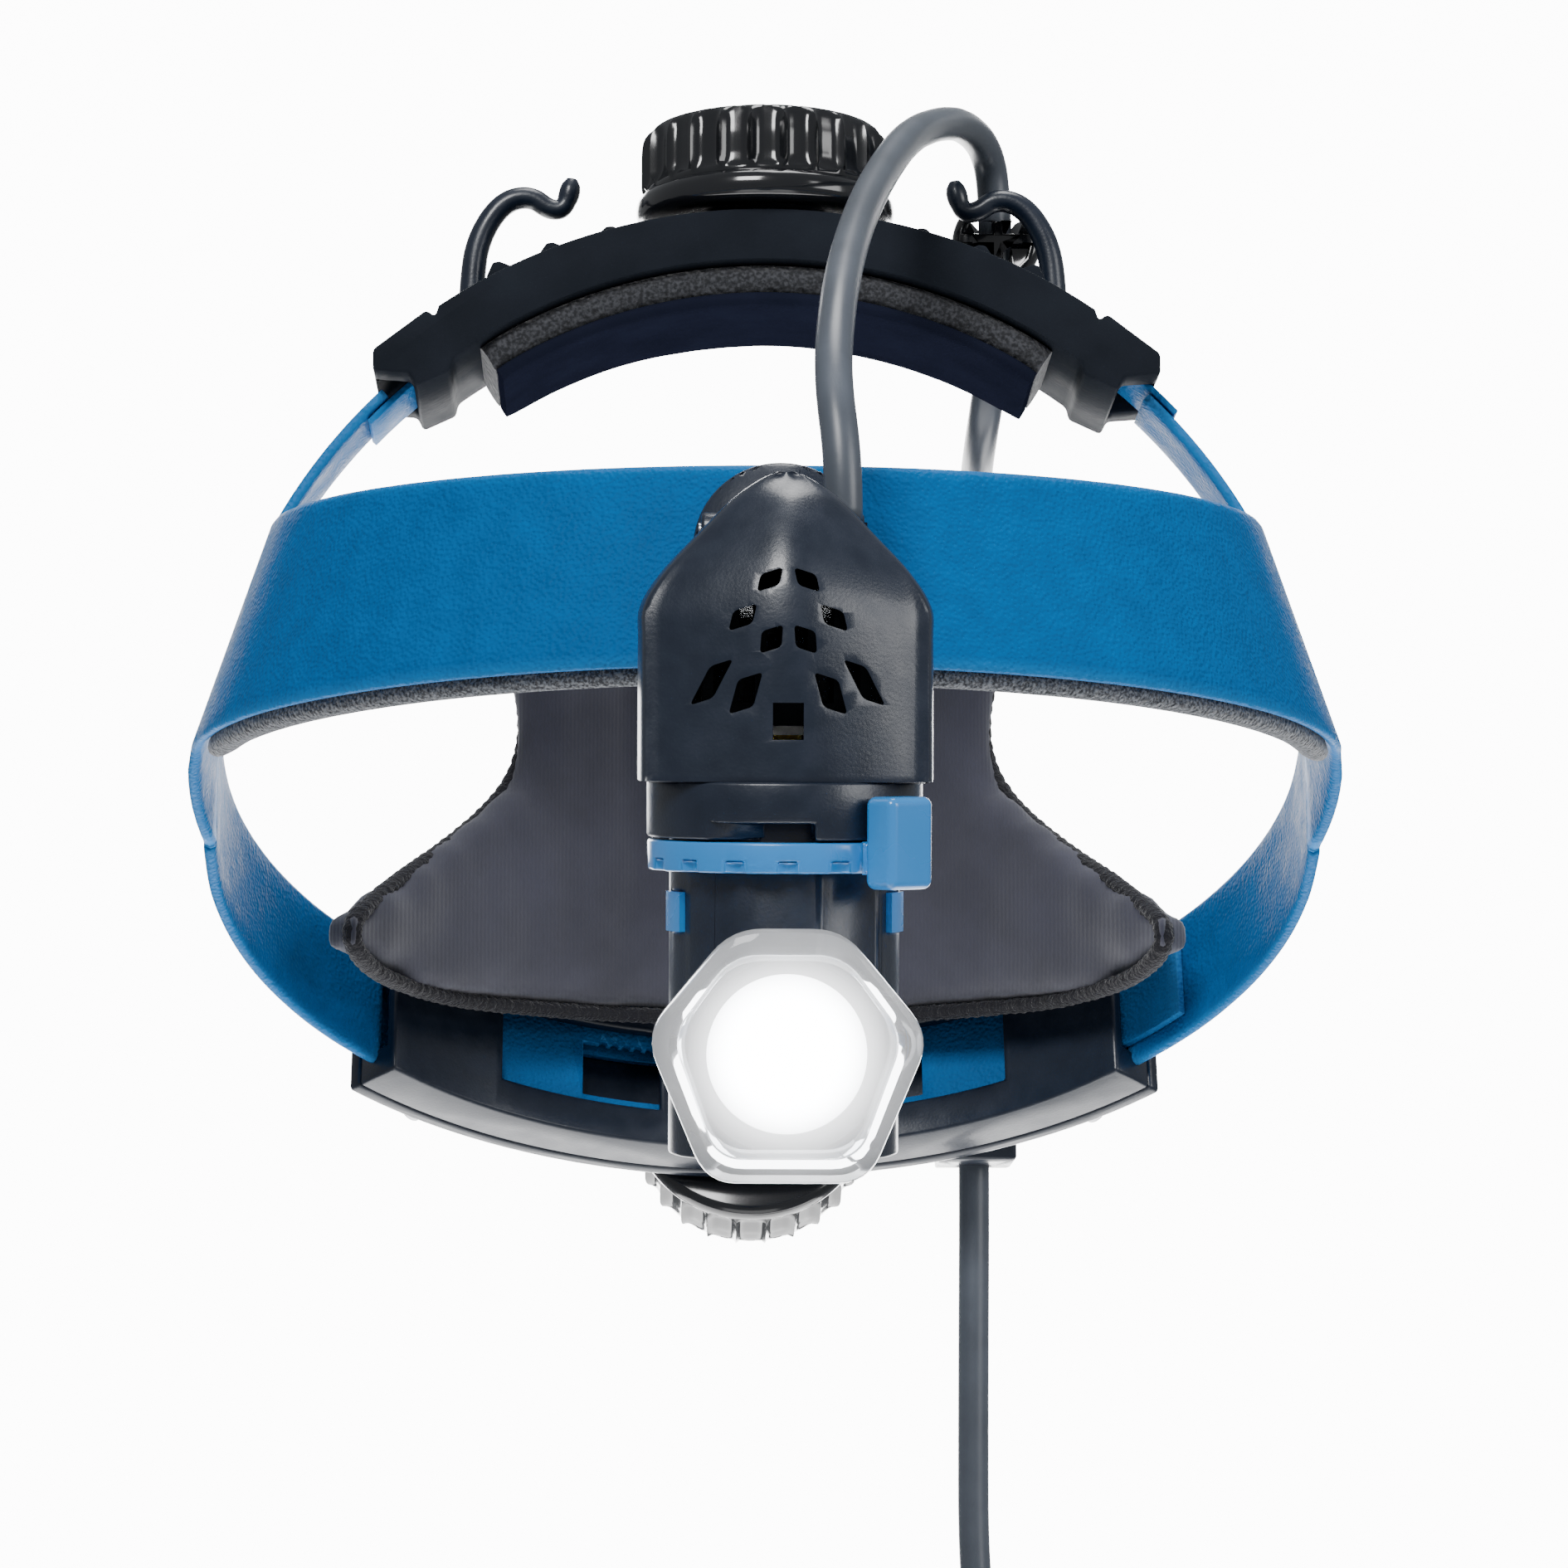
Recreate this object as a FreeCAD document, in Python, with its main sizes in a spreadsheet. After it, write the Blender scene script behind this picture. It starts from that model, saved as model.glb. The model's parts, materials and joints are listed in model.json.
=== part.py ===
import FreeCAD, Part
import math
import os
import Sketcher
from types import SimpleNamespace

# Coaxial LED headlight on an adjustable headband, for surgical and dental work.
# +Z is up, the wearer looks along -Y and +X is the wearer's left hand side.
# The origin is the centre of the head opening, half way up the front band.

V = FreeCAD.Vector
Rotation = FreeCAD.Rotation
Placement = FreeCAD.Placement
X_AXIS = V(1, 0, 0)
Y_AXIS = V(0, 1, 0)
Z_AXIS = V(0, 0, 1)

doc = FreeCAD.newDocument("headlight")
sheet = doc.addObject("Spreadsheet::Sheet", "Sizes")

SIZES = (
    # front band, a leaning wall round the forehead
    ("band_centre", -11.0), ("band_radius", 81.0), ("band_lean", 0.31), ("side_lean", 0.03),
    ("side_draw", 1.2), ("band_top", 18.0), ("band_rise", 0.07), ("band_bottom", 19.3),
    ("band_thick", 2.0), ("ear_end", 11.0), ("ear_start", -17.0), ("ear_fall", 0.36),
    ("brow_pad_thick", 5.0),
    # rear ring, tilted down to the back of the head
    ("ring_y", 20.0), ("ring_z", -22.0), ("ring_drop", 25.0), ("strap_inner", 84.0),
    ("strap_thick", 2.0), ("strap_half", 11.0), ("mouth_angle", 47.0),
    ("tray_inner", 80.0), ("tray_outer", 88.0), ("cover_outer", 90.5), ("tray_half", 14.0),
    ("channel_inner", 82.1), ("channel_half", 8.6), ("rack_thick", 1.2), ("rack_half", 8.0),
    ("rack_inner_low", 82.5), ("rack_inner_high", 86.3), ("rack_tail", 56.0),
    ("slot_half", 5.1), ("slot_angle", 20.0),
    # crown arch
    ("arch_z", -22.5), ("arch_y", 1.5), ("arch_inner", 80.0), ("arch_outer", 88.0),
    ("arch_half", 16.5), ("arch_angle", 37.0), ("arch_end_angle", 44.0),
    ("arch_channel_inner", 81.8), ("arch_channel_outer", 86.4), ("arch_channel_half", 9.4),
    ("crown_strap_inner", 83.3), ("crown_strap_thick", 1.6), ("crown_strap_half", 8.5),
    ("crown_strap_end", 65.5), ("crown_rack_low", 82.05), ("crown_rack_high", 85.2),
    ("crown_rack_thick", 0.95), ("crown_pad_inner", 73.4), ("crown_pad_angle", 33.0),
    # knobs and pinions
    ("knob_radius", 19.3), ("knob_height", 11.0), ("knob_flute", 2.1), ("knob_flutes", 24.0),
    ("skirt_radius", 19.9), ("skirt_height", 4.2), ("pinion_radius", 4.9), ("shaft_radius", 3.0),
    # lamp, upright in its own frame, then tipped by lamp_tip about the hinge
    ("hinge_y", -104.0), ("hinge_z", -2.0), ("lamp_tip", 10.0), ("knuckle_radius", 2.4),
    ("hinge_half", 11.0), ("pin_radius", 1.0), ("base_radius", 12.0), ("lamp_axis", -17.0),
    ("hood_bottom", -33.2), ("hood_wall", 1.8), ("collar_radius", 18.2),
    ("collar_bottom", -40.7), ("ring_radius", 18.1), ("ring_top", -41.0), ("ring_bottom", -45.0),
    ("barrel_radius", 15.2), ("barrel_wall", 2.0), ("barrel_bottom", -82.5), ("lens_height", -68.3),
    ("lens_radius", 11.0), ("window_front", -40.0), ("window_back", -33.0),
    # lead
    ("lead_radius", 2.6), ("coil_radius", 29.0), ("coil_bundle", 6.6),
)
for row, (alias, number) in enumerate(SIZES, start=1):
    sheet.set("A%d" % row, alias)
    sheet.set("B%d" % row, "%g" % number)
    sheet.setAlias("B%d" % row, alias)
doc.recompute()
S = SimpleNamespace(**{alias: float(sheet.get(alias)) for alias, number in SIZES})

REAR = Placement(V(0, S.ring_y, S.ring_z),
                 Rotation(X_AXIS, -S.ring_drop).multiply(Rotation(Z_AXIS, 90)))
CROWN = Placement(V(0, S.arch_y, S.arch_z), Rotation(Z_AXIS, X_AXIS, Y_AXIS, "ZXY"))
LAMP = Placement(V(0, S.hinge_y, S.hinge_z), Rotation(X_AXIS, S.lamp_tip))
HERE = Placement()

parts = {}


# ---------------------------------------------------------------- helpers
def keep(label, item, place=None):
    """Name a finished sub-part and put it in its place."""
    item.Label = label
    if place is not None:
        item.Placement = place
    parts[label] = item
    return item


def solid(label, shape, place=None):
    """A sub-part whose shape is worked out in code from the sheet's sizes."""
    item = doc.addObject("Part::Feature", label)
    item.Shape = shape
    turned = shape.Placement
    return keep(label, item, (place if place is not None else HERE).multiply(turned))


def bound(kind, name, place, **formulas):
    """A Part primitive whose sizes are formulas of the sheet's cells."""
    item = doc.addObject(kind, name)
    for prop, formula in formulas.items():
        item.setExpression(prop, formula)
    item.Placement = place
    return item


def cylinder(name, radius, height, place=HERE, sweep="360"):
    return bound("Part::Cylinder", name, place, Radius=radius, Height=height, Angle=sweep)


def cut(name, base, tool):
    item = doc.addObject("Part::Cut", name)
    item.Base = base
    item.Tool = tool
    return item


def at(x=0.0, y=0.0, z=0.0, rotation=None):
    return Placement(V(x, y, z), rotation if rotation is not None else Rotation())


def arch(name, inner, outer, half_sweep, low, height):
    """Part of a ring round local Z, spread evenly about local X. All sizes are formulas."""
    turned = at(rotation=Rotation(Z_AXIS, 0))
    body = cylinder(name + "_outside", outer, height, turned, "2 * (" + half_sweep + ")")
    body.setExpression("Placement.Rotation.Angle", "-(" + half_sweep + ")")
    body.setExpression("Placement.Base.z", low)
    core = cylinder(name + "_inside", inner, height + " + 4", HERE)
    core.setExpression("Placement.Base.z", low + " - 2")
    return cut(name, body, core)


def sector(inner, outer, start, end, low, high):
    """Part of a ring round local Z as a plain shape, from one angle to another."""
    height = high - low
    body = Part.makeCylinder(outer, height, V(0, 0, low), Z_AXIS, end - start)
    body = body.cut(Part.makeCylinder(inner, height + 2, V(0, 0, low - 1)))
    body.rotate(V(0, 0, 0), Z_AXIS, start)
    return body


def loft(sections, ruled=False):
    """A solid through closed outlines that all have the same number of corners."""
    wires = [Part.makePolygon([V(*corner) for corner in section + section[:1]]) for section in sections]
    return Part.makeLoft(wires, True, ruled)


def plane(body, role):
    return next(item for item in body.Origin.OriginFeatures if item.Role == role)


def sketch_on(body, name, role="XY_Plane", lift=0.0):
    sketch = body.newObject("Sketcher::SketchObject", name)
    sketch.AttachmentSupport = [(plane(body, role), "")]
    sketch.MapMode = "FlatFace"
    sketch.AttachmentOffset = at(z=lift)
    return sketch


def round_sketch(body, name, radius, x=0.0, lift=0.0):
    """A sketch with one circle on the body's XY plane; its radius is a formula."""
    sketch = sketch_on(body, name, lift=lift)
    edge = sketch.addGeometry(Part.Circle(V(x, 0, 0), Z_AXIS, 1.0 + abs(x) * 0.01))
    sketch.addConstraint(Sketcher.Constraint("PointOnObject", edge, 3, -1))
    if x == 0.0:
        sketch.addConstraint(Sketcher.Constraint("PointOnObject", edge, 3, -2))
    size = sketch.addConstraint(Sketcher.Constraint("Radius", edge, 1.0 + abs(x) * 0.01))
    sketch.setExpression("Constraints[%d]" % size, radius)
    return sketch, edge


def pad(body, name, sketch, length, feature="PartDesign::Pad"):
    item = body.newObject(feature, name)
    item.Profile = sketch
    item.setExpression("Length", length)
    sketch.Visibility = False
    return item


def disc_body(label, radius, height, place, bore=None):
    """A turned piece: a padded disc along local Z, with an optional bore."""
    body = doc.addObject("PartDesign::Body", label)
    sketch, edge = round_sketch(body, label + "_outline", radius)
    pad(body, label + "_pad", sketch, height)
    if bore:
        hole, edge = round_sketch(body, label + "_bore", bore)
        doc.recompute()
        pocket = pad(body, label + "_pocket", hole, height + " + 1", "PartDesign::Pocket")
        pocket.Reversed = True
    return keep(label, body, place)


def fluted_knob(label, place):
    """A hand knob along local Z: a skirt, a grip with scalloped flutes and a shaft bore below."""
    body = doc.addObject("PartDesign::Body", label)
    skirt, edge = round_sketch(body, label + "_skirt_outline", "Sizes.skirt_radius")
    pad(body, label + "_skirt", skirt, "Sizes.skirt_height")
    grip, edge = round_sketch(body, label + "_grip_outline", "Sizes.knob_radius")
    pad(body, label + "_grip", grip, "Sizes.skirt_height + Sizes.knob_height")
    doc.recompute()
    top = S.skirt_height + S.knob_height
    flute, edge = round_sketch(body, label + "_flute_outline", "Sizes.knob_flute", S.knob_radius + 0.9, top)
    reach = flute.addConstraint(Sketcher.Constraint("DistanceX", -1, 1, edge, 3, S.knob_radius + 0.9))
    flute.setExpression("Constraints[%d]" % reach, "Sizes.knob_radius + 0.9")
    groove = pad(body, label + "_flute", flute, "Sizes.knob_height - 1.6", "PartDesign::Pocket")
    doc.recompute()
    ring = body.newObject("PartDesign::PolarPattern", label + "_flutes")
    ring.Originals = [groove]
    ring.Axis = (flute, ["N_Axis"])
    ring.Angle = 360
    ring.setExpression("Occurrences", "Sizes.knob_flutes")
    body.Tip = ring
    bore, edge = round_sketch(body, label + "_bore_outline", "Sizes.shaft_radius")
    doc.recompute()
    hole = pad(body, label + "_bore", bore, "Sizes.skirt_height + 4", "PartDesign::Pocket")
    hole.Reversed = True
    return keep(label, body, place)


# ---------------------------------------------------------------- headband
def wall_radius(turn, height):
    """How far the band's outer face stands from the middle of the head: it leans in at the top."""
    side = math.sin(turn) ** 2
    return S.band_radius - S.side_draw * side - (S.band_lean + S.side_lean * side) * height


def band_point(turn, height, inset):
    """A point of the front band's wall: turn is the angle round the forehead from its middle."""
    radius = wall_radius(turn, height) - inset
    return (radius * math.sin(turn), S.band_centre - radius * math.cos(turn), height)


def high_edge(y):
    """The top edge of the band climbs towards the temples."""
    return S.band_top + S.band_rise * (y - S.ear_end)


def low_edge(y):
    """The bottom edge is level round the forehead and drops beside the ears."""
    return -S.band_bottom - max(0.0, S.ear_fall * (y - S.ear_start))


def wall_section(corner, low, high, outer, inner):
    """One cross-section of the wall, with a corner where the rear strap's width begins."""
    seam = low + 2 * S.strap_half
    heights = ((low, outer), (seam, outer), (high, outer), (high, inner), (seam, inner), (low, inner))
    return [corner(height, inset) for height, inset in heights]


def side_corner(side, y, height, inset):
    """Beside the temple the wall runs straight back and its lower part stands more upright."""
    lean = wall_radius(math.pi / 2, height)
    way_back = (y - S.band_centre) / (S.ear_end - S.band_centre)
    drop = min(1.0, max(0.0, (S.band_top - height) / (S.band_top + S.band_bottom)))
    upright = min(1.0, way_back) * drop
    x = lean + (S.strap_inner + S.strap_thick - 0.2 - lean) * upright
    return (side * (x - inset), y, height)


def band_solid(outer, inner, trim_low, trim_high, reach):
    """The wall of the band, or of a pad inside it, between two insets from its outer face."""
    sections = {-1: [], 1: []}
    if reach >= 90:
        for side in (-1, 1):
            for y in (S.ear_end, (S.ear_end + S.band_centre) / 2):
                sections[side].append(wall_section(lambda height, inset: side_corner(side, y, height, inset),
                                                   low_edge(y) + trim_low, high_edge(y) - trim_high,
                                                   outer, inner))
    middle = []
    steps = 18
    for step in range(steps + 1):
        turn = math.radians(-reach + 2 * reach * step / steps)
        y = band_point(turn, -S.band_bottom, 0)[1]
        middle.append(wall_section(lambda height, inset: band_point(turn, height, inset),
                                   low_edge(y) + trim_low, high_edge(y) - trim_high, outer, inner))
    return loft(sections[-1] + middle + sections[1][::-1])


def make_headband():
    solid("front_band", band_solid(0.0, S.band_thick, 0.0, 0.0, 90))
    pad_back = S.band_thick + S.brow_pad_thick
    solid("brow_pad", band_solid(S.band_thick + 0.05, pad_back, -2.0, 2.5, 78))
    for side, name in ((-1, "left"), (1, "right")):
        make_rear_strap(side, "rear_strap_" + name)
        make_crown_strap(side, "overhead_strap_" + name)


def ring_point(angle, radius, rise):
    """A point of the tilted rear ring: angle from the back of the head, positive to -X."""
    turn = math.radians(angle)
    return REAR.multVec(V(radius * math.cos(turn), radius * math.sin(turn), rise))


def make_rear_strap(side, label):
    """The strap from the temple to the mouth of the rear tray."""
    outer = S.strap_inner + S.strap_thick
    y = S.ear_end + 0.05
    low = low_edge(S.ear_end)
    root = [side_corner(side, y, height, inset)
            for height, inset in ((low, 0.0), (low + 2 * S.strap_half, 0.0),
                                  (low + 2 * S.strap_half, S.strap_thick), (low, S.strap_thick))]
    sections = [root]
    for angle in (92, 84, 76, 68, 60, 53, S.mouth_angle):
        corners = []
        for rise, radius in ((-S.strap_half, outer), (S.strap_half, outer),
                             (S.strap_half, S.strap_inner), (-S.strap_half, S.strap_inner)):
            corners.append(tuple(ring_point(-side * angle, radius, rise)))
        sections.append(corners)
    solid(label, loft(sections))


def make_crown_strap(side, label):
    """The strap from the top edge of the band up into the arch over the crown."""
    start = S.arch_end_angle - 2.0
    strap = sector(S.crown_strap_inner, S.crown_strap_inner + S.crown_strap_thick,
                   start, S.crown_strap_end, -S.crown_strap_half, S.crown_strap_half)
    if side < 0:
        strap = strap.mirror(V(0, 0, 0), Y_AXIS)
    strap.Placement = CROWN.multiply(strap.Placement)
    wall = band_solid(-4.0, 8.0, 0.0, 0.0, 90)
    solid(label, strap.cut(wall))


# ---------------------------------------------------------------- rack and tray pieces
def rack(inner, thick, start, end, half, slot, teeth_side, place, label, riser=None):
    """A curved rack with a long slot round the pinion, notched along one edge of the slot."""
    strip = sector(inner, inner + thick, start, end, -half, half)
    slot_body = sector(inner - 1, inner + thick + 1, -slot, slot, -S.slot_half, S.slot_half)
    strip = strip.cut(slot_body)
    pitch = math.degrees(2.0 / inner)
    notches = []
    count = int(2 * slot / pitch) - 1
    for index in range(count):
        angle = -slot + pitch * (index + 1)
        notch = Part.makeCylinder(0.6, thick + 2, V(inner - 1, 0, teeth_side * S.slot_half), X_AXIS)
        notch.rotate(V(0, 0, 0), Z_AXIS, angle)
        notches.append(notch)
    strip = strip.cut(Part.makeCompound(notches))
    if riser:
        strip = strip.fuse(sector(*riser, -half, half)).removeSplitter()
    solid(label, strip, place)


def pinion(label, length, shaft, place):
    """A toothed pinion with a long shaft along local Z."""
    body = doc.addObject("PartDesign::Body", label)
    wheel, edge = round_sketch(body, label + "_wheel_outline", "Sizes.pinion_radius")
    pad(body, label + "_wheel", wheel, "%g" % length)
    stem, edge = round_sketch(body, label + "_shaft_outline", "Sizes.shaft_radius - 0.05")
    pad(body, label + "_shaft", stem, "%g" % (length + shaft))
    doc.recompute()
    tooth, edge = round_sketch(body, label + "_gap_outline", "0.62", S.pinion_radius + 0.15, length)
    tooth.addConstraint(Sketcher.Constraint("DistanceX", -1, 1, edge, 3, S.pinion_radius + 0.15))
    gap = pad(body, label + "_gap", tooth, "%g" % (length + 1), "PartDesign::Pocket")
    doc.recompute()
    ring = body.newObject("PartDesign::PolarPattern", label + "_gaps")
    ring.Originals = [gap]
    ring.Axis = (tooth, ["N_Axis"])
    ring.Angle = 360
    ring.Occurrences = 15
    body.Tip = ring
    return keep(label, body, place)


def along(axis_place, radius, drop=0.0):
    """A placement whose Z runs along local X of an arch's frame, at a radius of that arch."""
    turn = Placement(V(radius, 0, drop), Rotation(Y_AXIS, 90))
    return axis_place.multiply(turn)


def make_rear_unit():
    sweep = "Sizes.mouth_angle"
    low = "-Sizes.tray_half"
    tray = sector(S.tray_inner, S.tray_outer, -S.mouth_angle, S.mouth_angle, -S.tray_half, S.tray_half)
    channel = sector(S.channel_inner, S.tray_outer + 1, -60, 60, -S.channel_half, S.channel_half)
    tray = tray.cut(channel)
    windows = []
    for side in (-1, 1):
        window = sector(S.tray_inner - 1, S.channel_inner + 1, 11, 31, -7.4, 7.4)
        if side < 0:
            window = window.mirror(V(0, 0, 0), Y_AXIS)
        windows.append(window)
    solid("rear_tray", tray.cut(Part.makeCompound(windows)), REAR)

    cover = arch("rear_cover_wall", "Sizes.tray_outer", "Sizes.cover_outer", sweep, low, "2 * Sizes.tray_half")
    bore = bound("Part::Cylinder", "rear_cover_bore", at(S.tray_outer - 2, 0, 0, Rotation(Y_AXIS, 90)),
                 Radius="Sizes.shaft_radius + 0.05", Height="8")
    keep("rear_cover", cut("rear_cover_bored", cover, bore), REAR)

    screws = []
    for angle in (-38, 38):
        for rise in (-11.3, 11.3):
            screw = Part.makeCylinder(2.2, 1.0, V(S.cover_outer, 0, rise), X_AXIS)
            slot = Part.makeBox(0.8, 0.5, 3.0, V(S.cover_outer + 0.6, -0.25, rise - 1.5))
            screw = screw.cut(slot)
            screw.rotate(V(0, 0, 0), Z_AXIS, angle)
            screws.append(screw)
    cover_skin = Part.makeCylinder(S.cover_outer + 0.02, 60, V(0, 0, -30))
    solid("rear_cover_screws", Part.makeCompound([screw.cut(cover_skin) for screw in screws]), REAR)

    rack(S.rack_inner_low, S.rack_thick, -S.rack_tail, S.mouth_angle - 0.8, S.rack_half, S.slot_angle, 1,
         REAR, "rear_rack_left",
         (S.rack_inner_low, S.strap_inner + S.strap_thick, S.mouth_angle - 4, S.mouth_angle - 0.8))
    right = -S.mouth_angle
    rack(S.rack_inner_high, S.rack_thick, right + 0.8, S.rack_tail, S.rack_half, S.slot_angle, -1,
         REAR, "rear_rack_right",
         (S.strap_inner, S.rack_inner_high + S.rack_thick, right + 0.8, right + 4))
    pinion("rear_pinion", 5.2, 11.6, along(REAR, S.rack_inner_low - 0.1))
    fluted_knob("rear_knob", along(REAR, S.cover_outer + 0.6))
    make_occiput_pad()


def wall_patch(inner, outer, rows):
    """An upright curved pad: each row gives a height, a half angle and an extra inset."""
    sections = []
    for height, half_angle, inset in rows:
        ring = []
        steps = 12
        for step in range(steps + 1):
            turn = math.radians(-half_angle + 2 * half_angle * step / steps)
            radius = outer - inset
            ring.append((radius * math.sin(turn), S.ring_y + radius * math.cos(turn), height))
        for step in range(steps, -1, -1):
            turn = math.radians(-half_angle + 2 * half_angle * step / steps)
            radius = inner + inset
            ring.append((radius * math.sin(turn), S.ring_y + radius * math.cos(turn), height))
        sections.append(ring)
    return loft(sections, True)


PAD_ROWS = ((-46.0, 50.0, 2.0), (-43.5, 66.0, 0.3), (-38.0, 73.0, 0.0), (-30.0, 62.0, 0.0),
            (-20.0, 47.0, 0.0), (-10.0, 37.5, 0.0), (0.0, 34.5, 0.0), (12.0, 36.5, 0.0),
            (20.0, 40.0, 0.0), (25.0, 36.0, 1.8))


def make_occiput_pad():
    """The shaped pad at the back of the head, its backing plate and the lugs that carry it."""
    solid("rear_pad", wall_patch(64.0, 73.0, PAD_ROWS))
    plate_rows = [(height * 0.9, angle * 0.85, 0.0) for height, angle, inset in PAD_ROWS]
    plate = wall_patch(73.5, 75.0, plate_rows)
    lugs = []
    tray_core = Part.makeCylinder(S.tray_inner - 0.05, 2 * S.tray_half - 6, V(0, 0, 3 - S.tray_half))
    tray_core.Placement = REAR
    for x in (-34, 34):
        lug = Part.makeBox(10, 30, 7, V(x - 5, 68, -46))
        lugs.append(lug.common(tray_core))
    skin = Part.makeCylinder(74.2, 120, V(0, S.ring_y, -70))
    plate = plate.fuse([lug.cut(skin) for lug in lugs]).removeSplitter()
    solid("pad_plate", plate)


# ---------------------------------------------------------------- crown unit
def make_crown_unit():
    outer = sector(S.arch_inner, S.arch_outer, -S.arch_angle, S.arch_angle, -S.arch_half, S.arch_half)
    ends = []
    for side in (-1, 1):
        block = sector(S.arch_inner - 1.0, S.arch_outer + 0.8, S.arch_angle, S.arch_end_angle,
                       -S.arch_half - 1.0, S.arch_half + 1.0)
        ends.append(block if side > 0 else block.mirror(V(0, 0, 0), Y_AXIS))
    frame = outer.fuse(ends)
    channel = sector(S.arch_channel_inner, S.arch_channel_outer, -50, 50,
                     -S.arch_channel_half, S.arch_channel_half)
    frame = frame.cut(channel)
    boss = Part.makeCylinder(9.0, 4.0, V(S.arch_outer - 3.0, 0, 0), X_AXIS)
    frame = frame.fuse(boss.cut(Part.makeCylinder(S.arch_channel_outer, 60, V(0, 0, -30))))
    frame = frame.cut(Part.makeCylinder(S.shaft_radius + 0.05, 12, V(S.arch_channel_outer - 4, 0, 0), X_AXIS))
    ridges = []
    for angle in (-22, -16, 16, 22):
        ridge = Part.makePolygon([V(0, -2.6, 0), V(0, 2.6, 0), V(2.4, 0.6, 0), V(0, -2.6, 0)])
        ridge = Part.Face(ridge).extrude(V(0, 0, 20))
        ridge.translate(V(S.arch_outer - 0.3, 0, -10))
        ridge.rotate(V(0, 0, 0), Z_AXIS, angle)
        ridges.append(ridge)
    solid("crown_arch", frame.fuse(ridges).removeSplitter(), CROWN)
    crown_pad = arch("crown_pad_wall", "Sizes.crown_pad_inner", "Sizes.arch_inner - 0.1",
                     "Sizes.crown_pad_angle", "-Sizes.arch_half + 1.5", "2 * Sizes.arch_half - 3")
    keep("crown_pad", crown_pad, CROWN)

    own = S.arch_end_angle - 2.8
    strap_outer = S.crown_strap_inner + S.crown_strap_thick
    rack(S.crown_rack_low, S.crown_rack_thick, -S.arch_end_angle - 3, own, S.rack_half, 16.0, 1,
         CROWN, "crown_rack_right", (S.crown_rack_low, strap_outer, own - 3, own))
    rack(S.crown_rack_high, S.crown_rack_thick, -own, S.arch_end_angle + 3, S.rack_half, 16.0, -1,
         CROWN, "crown_rack_left",
         (S.crown_strap_inner, S.crown_rack_high + S.crown_rack_thick, -own, 3 - own))
    pinion("crown_pinion", 3.9, 11.3, along(CROWN, S.crown_rack_low + 0.1))
    fluted_knob("crown_knob", along(CROWN, S.arch_outer + 1.3))
    make_hooks()


HOOK_Y = 13.0
HOOK_RADIUS = 1.6
GROMMET = V(37.0, 22.0, 69.0)


def make_hooks():
    """Two wire hooks on the arch, and the cross-ribbed grommet that the right one holds."""
    path_points = (V(45.5, HOOK_Y, 52.0), V(44.0, HOOK_Y, 61.0), V(40.5, HOOK_Y, 68.5),
                   V(34.5, HOOK_Y, 71.5), V(30.5, HOOK_Y, 72.5), V(29.3, HOOK_Y, 76.0))
    path = rounded_path(path_points)
    hook = tube(path, HOOK_RADIUS)
    foot = Part.makeBox(7, 7, 4, V(42.0, HOOK_Y - 3.5, 50.0))
    arch_core = Part.makeCylinder(S.arch_outer + 0.02, 60, V(0, 0, -30))
    arch_core.Placement = CROWN
    hook = hook.fuse(foot).cut(arch_core).removeSplitter()
    solid("lead_hook_right", hook)
    solid("lead_hook_left", hook.mirror(V(0, 0, 0), X_AXIS))
    button = Part.makeCylinder(7.0, 9.0, GROMMET + V(0, -4.5, 0), Y_AXIS)
    for x in (-1, 1):
        for z in (-1, 1):
            pocket = Part.makeBox(3.6, 2.0, 3.6, GROMMET + V(x * 3.2 - 1.8, -6.0, z * 3.2 - 1.8))
            button = button.cut(pocket)
    clasp = Part.makeBox(6.4, 6.4, 5.8, GROMMET + V(-3.2, -10.2, -2.4))
    groove = tube(path, HOOK_RADIUS + 0.05)
    bore = Part.makeCylinder(S.lead_radius + 0.4, 30, GROMMET - V(0, 0, 15))
    flare = Part.makeCone(S.lead_radius + 0.4, 5.2, 4.5, GROMMET + V(0, 0, 3.0))
    solid("lead_grommet", button.fuse(clasp).cut(groove).cut([bore, flare]).removeSplitter())


# ---------------------------------------------------------------- lead
def rounded_path(points):
    """Straight runs joined by tangent arcs, each as large as its two runs allow."""
    edges = []
    start = points[0]
    radii = []
    for index in range(1, len(points) - 1):
        before = points[index] - points[index - 1]
        after = points[index + 1] - points[index]
        turn = before.getAngle(after)
        reach = 0.45 * min(before.Length, after.Length)
        radii.append(reach / math.tan(turn / 2))
        first = points[index] - before.normalize() * reach
        last = points[index] + after.normalize() * reach
        inward = (last + first) * 0.5 - points[index]
        sagitta = radii[-1] * (1 / math.cos(turn / 2) - 1)
        middle = points[index] + inward.normalize() * sagitta
        edges.append(Part.LineSegment(start, first).toShape())
        edges.append(Part.Arc(first, middle, last).toShape())
        start = last
    edges.append(Part.LineSegment(start, points[-1]).toShape())
    rounded_path.radii = radii
    return Part.Wire(edges)


def tube(path, radius):
    start = path.Edges[0]
    heading = start.tangentAt(start.FirstParameter)
    ring = Part.Wire(Part.makeCircle(radius, start.valueAt(start.FirstParameter), heading))
    return path.makePipeShell([ring], True, False)


def lead_piece(label, points, place=None):
    path = rounded_path(points)
    shape = tube(path, S.lead_radius)
    section = math.pi * S.lead_radius ** 2
    print(label, "length %.0f" % path.Length, "volume ratio %.4f" % (shape.Volume / section / path.Length),
          "radii", " ".join("%.0f" % radius for radius in rounded_path.radii))
    solid(label, shape, place)


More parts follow.
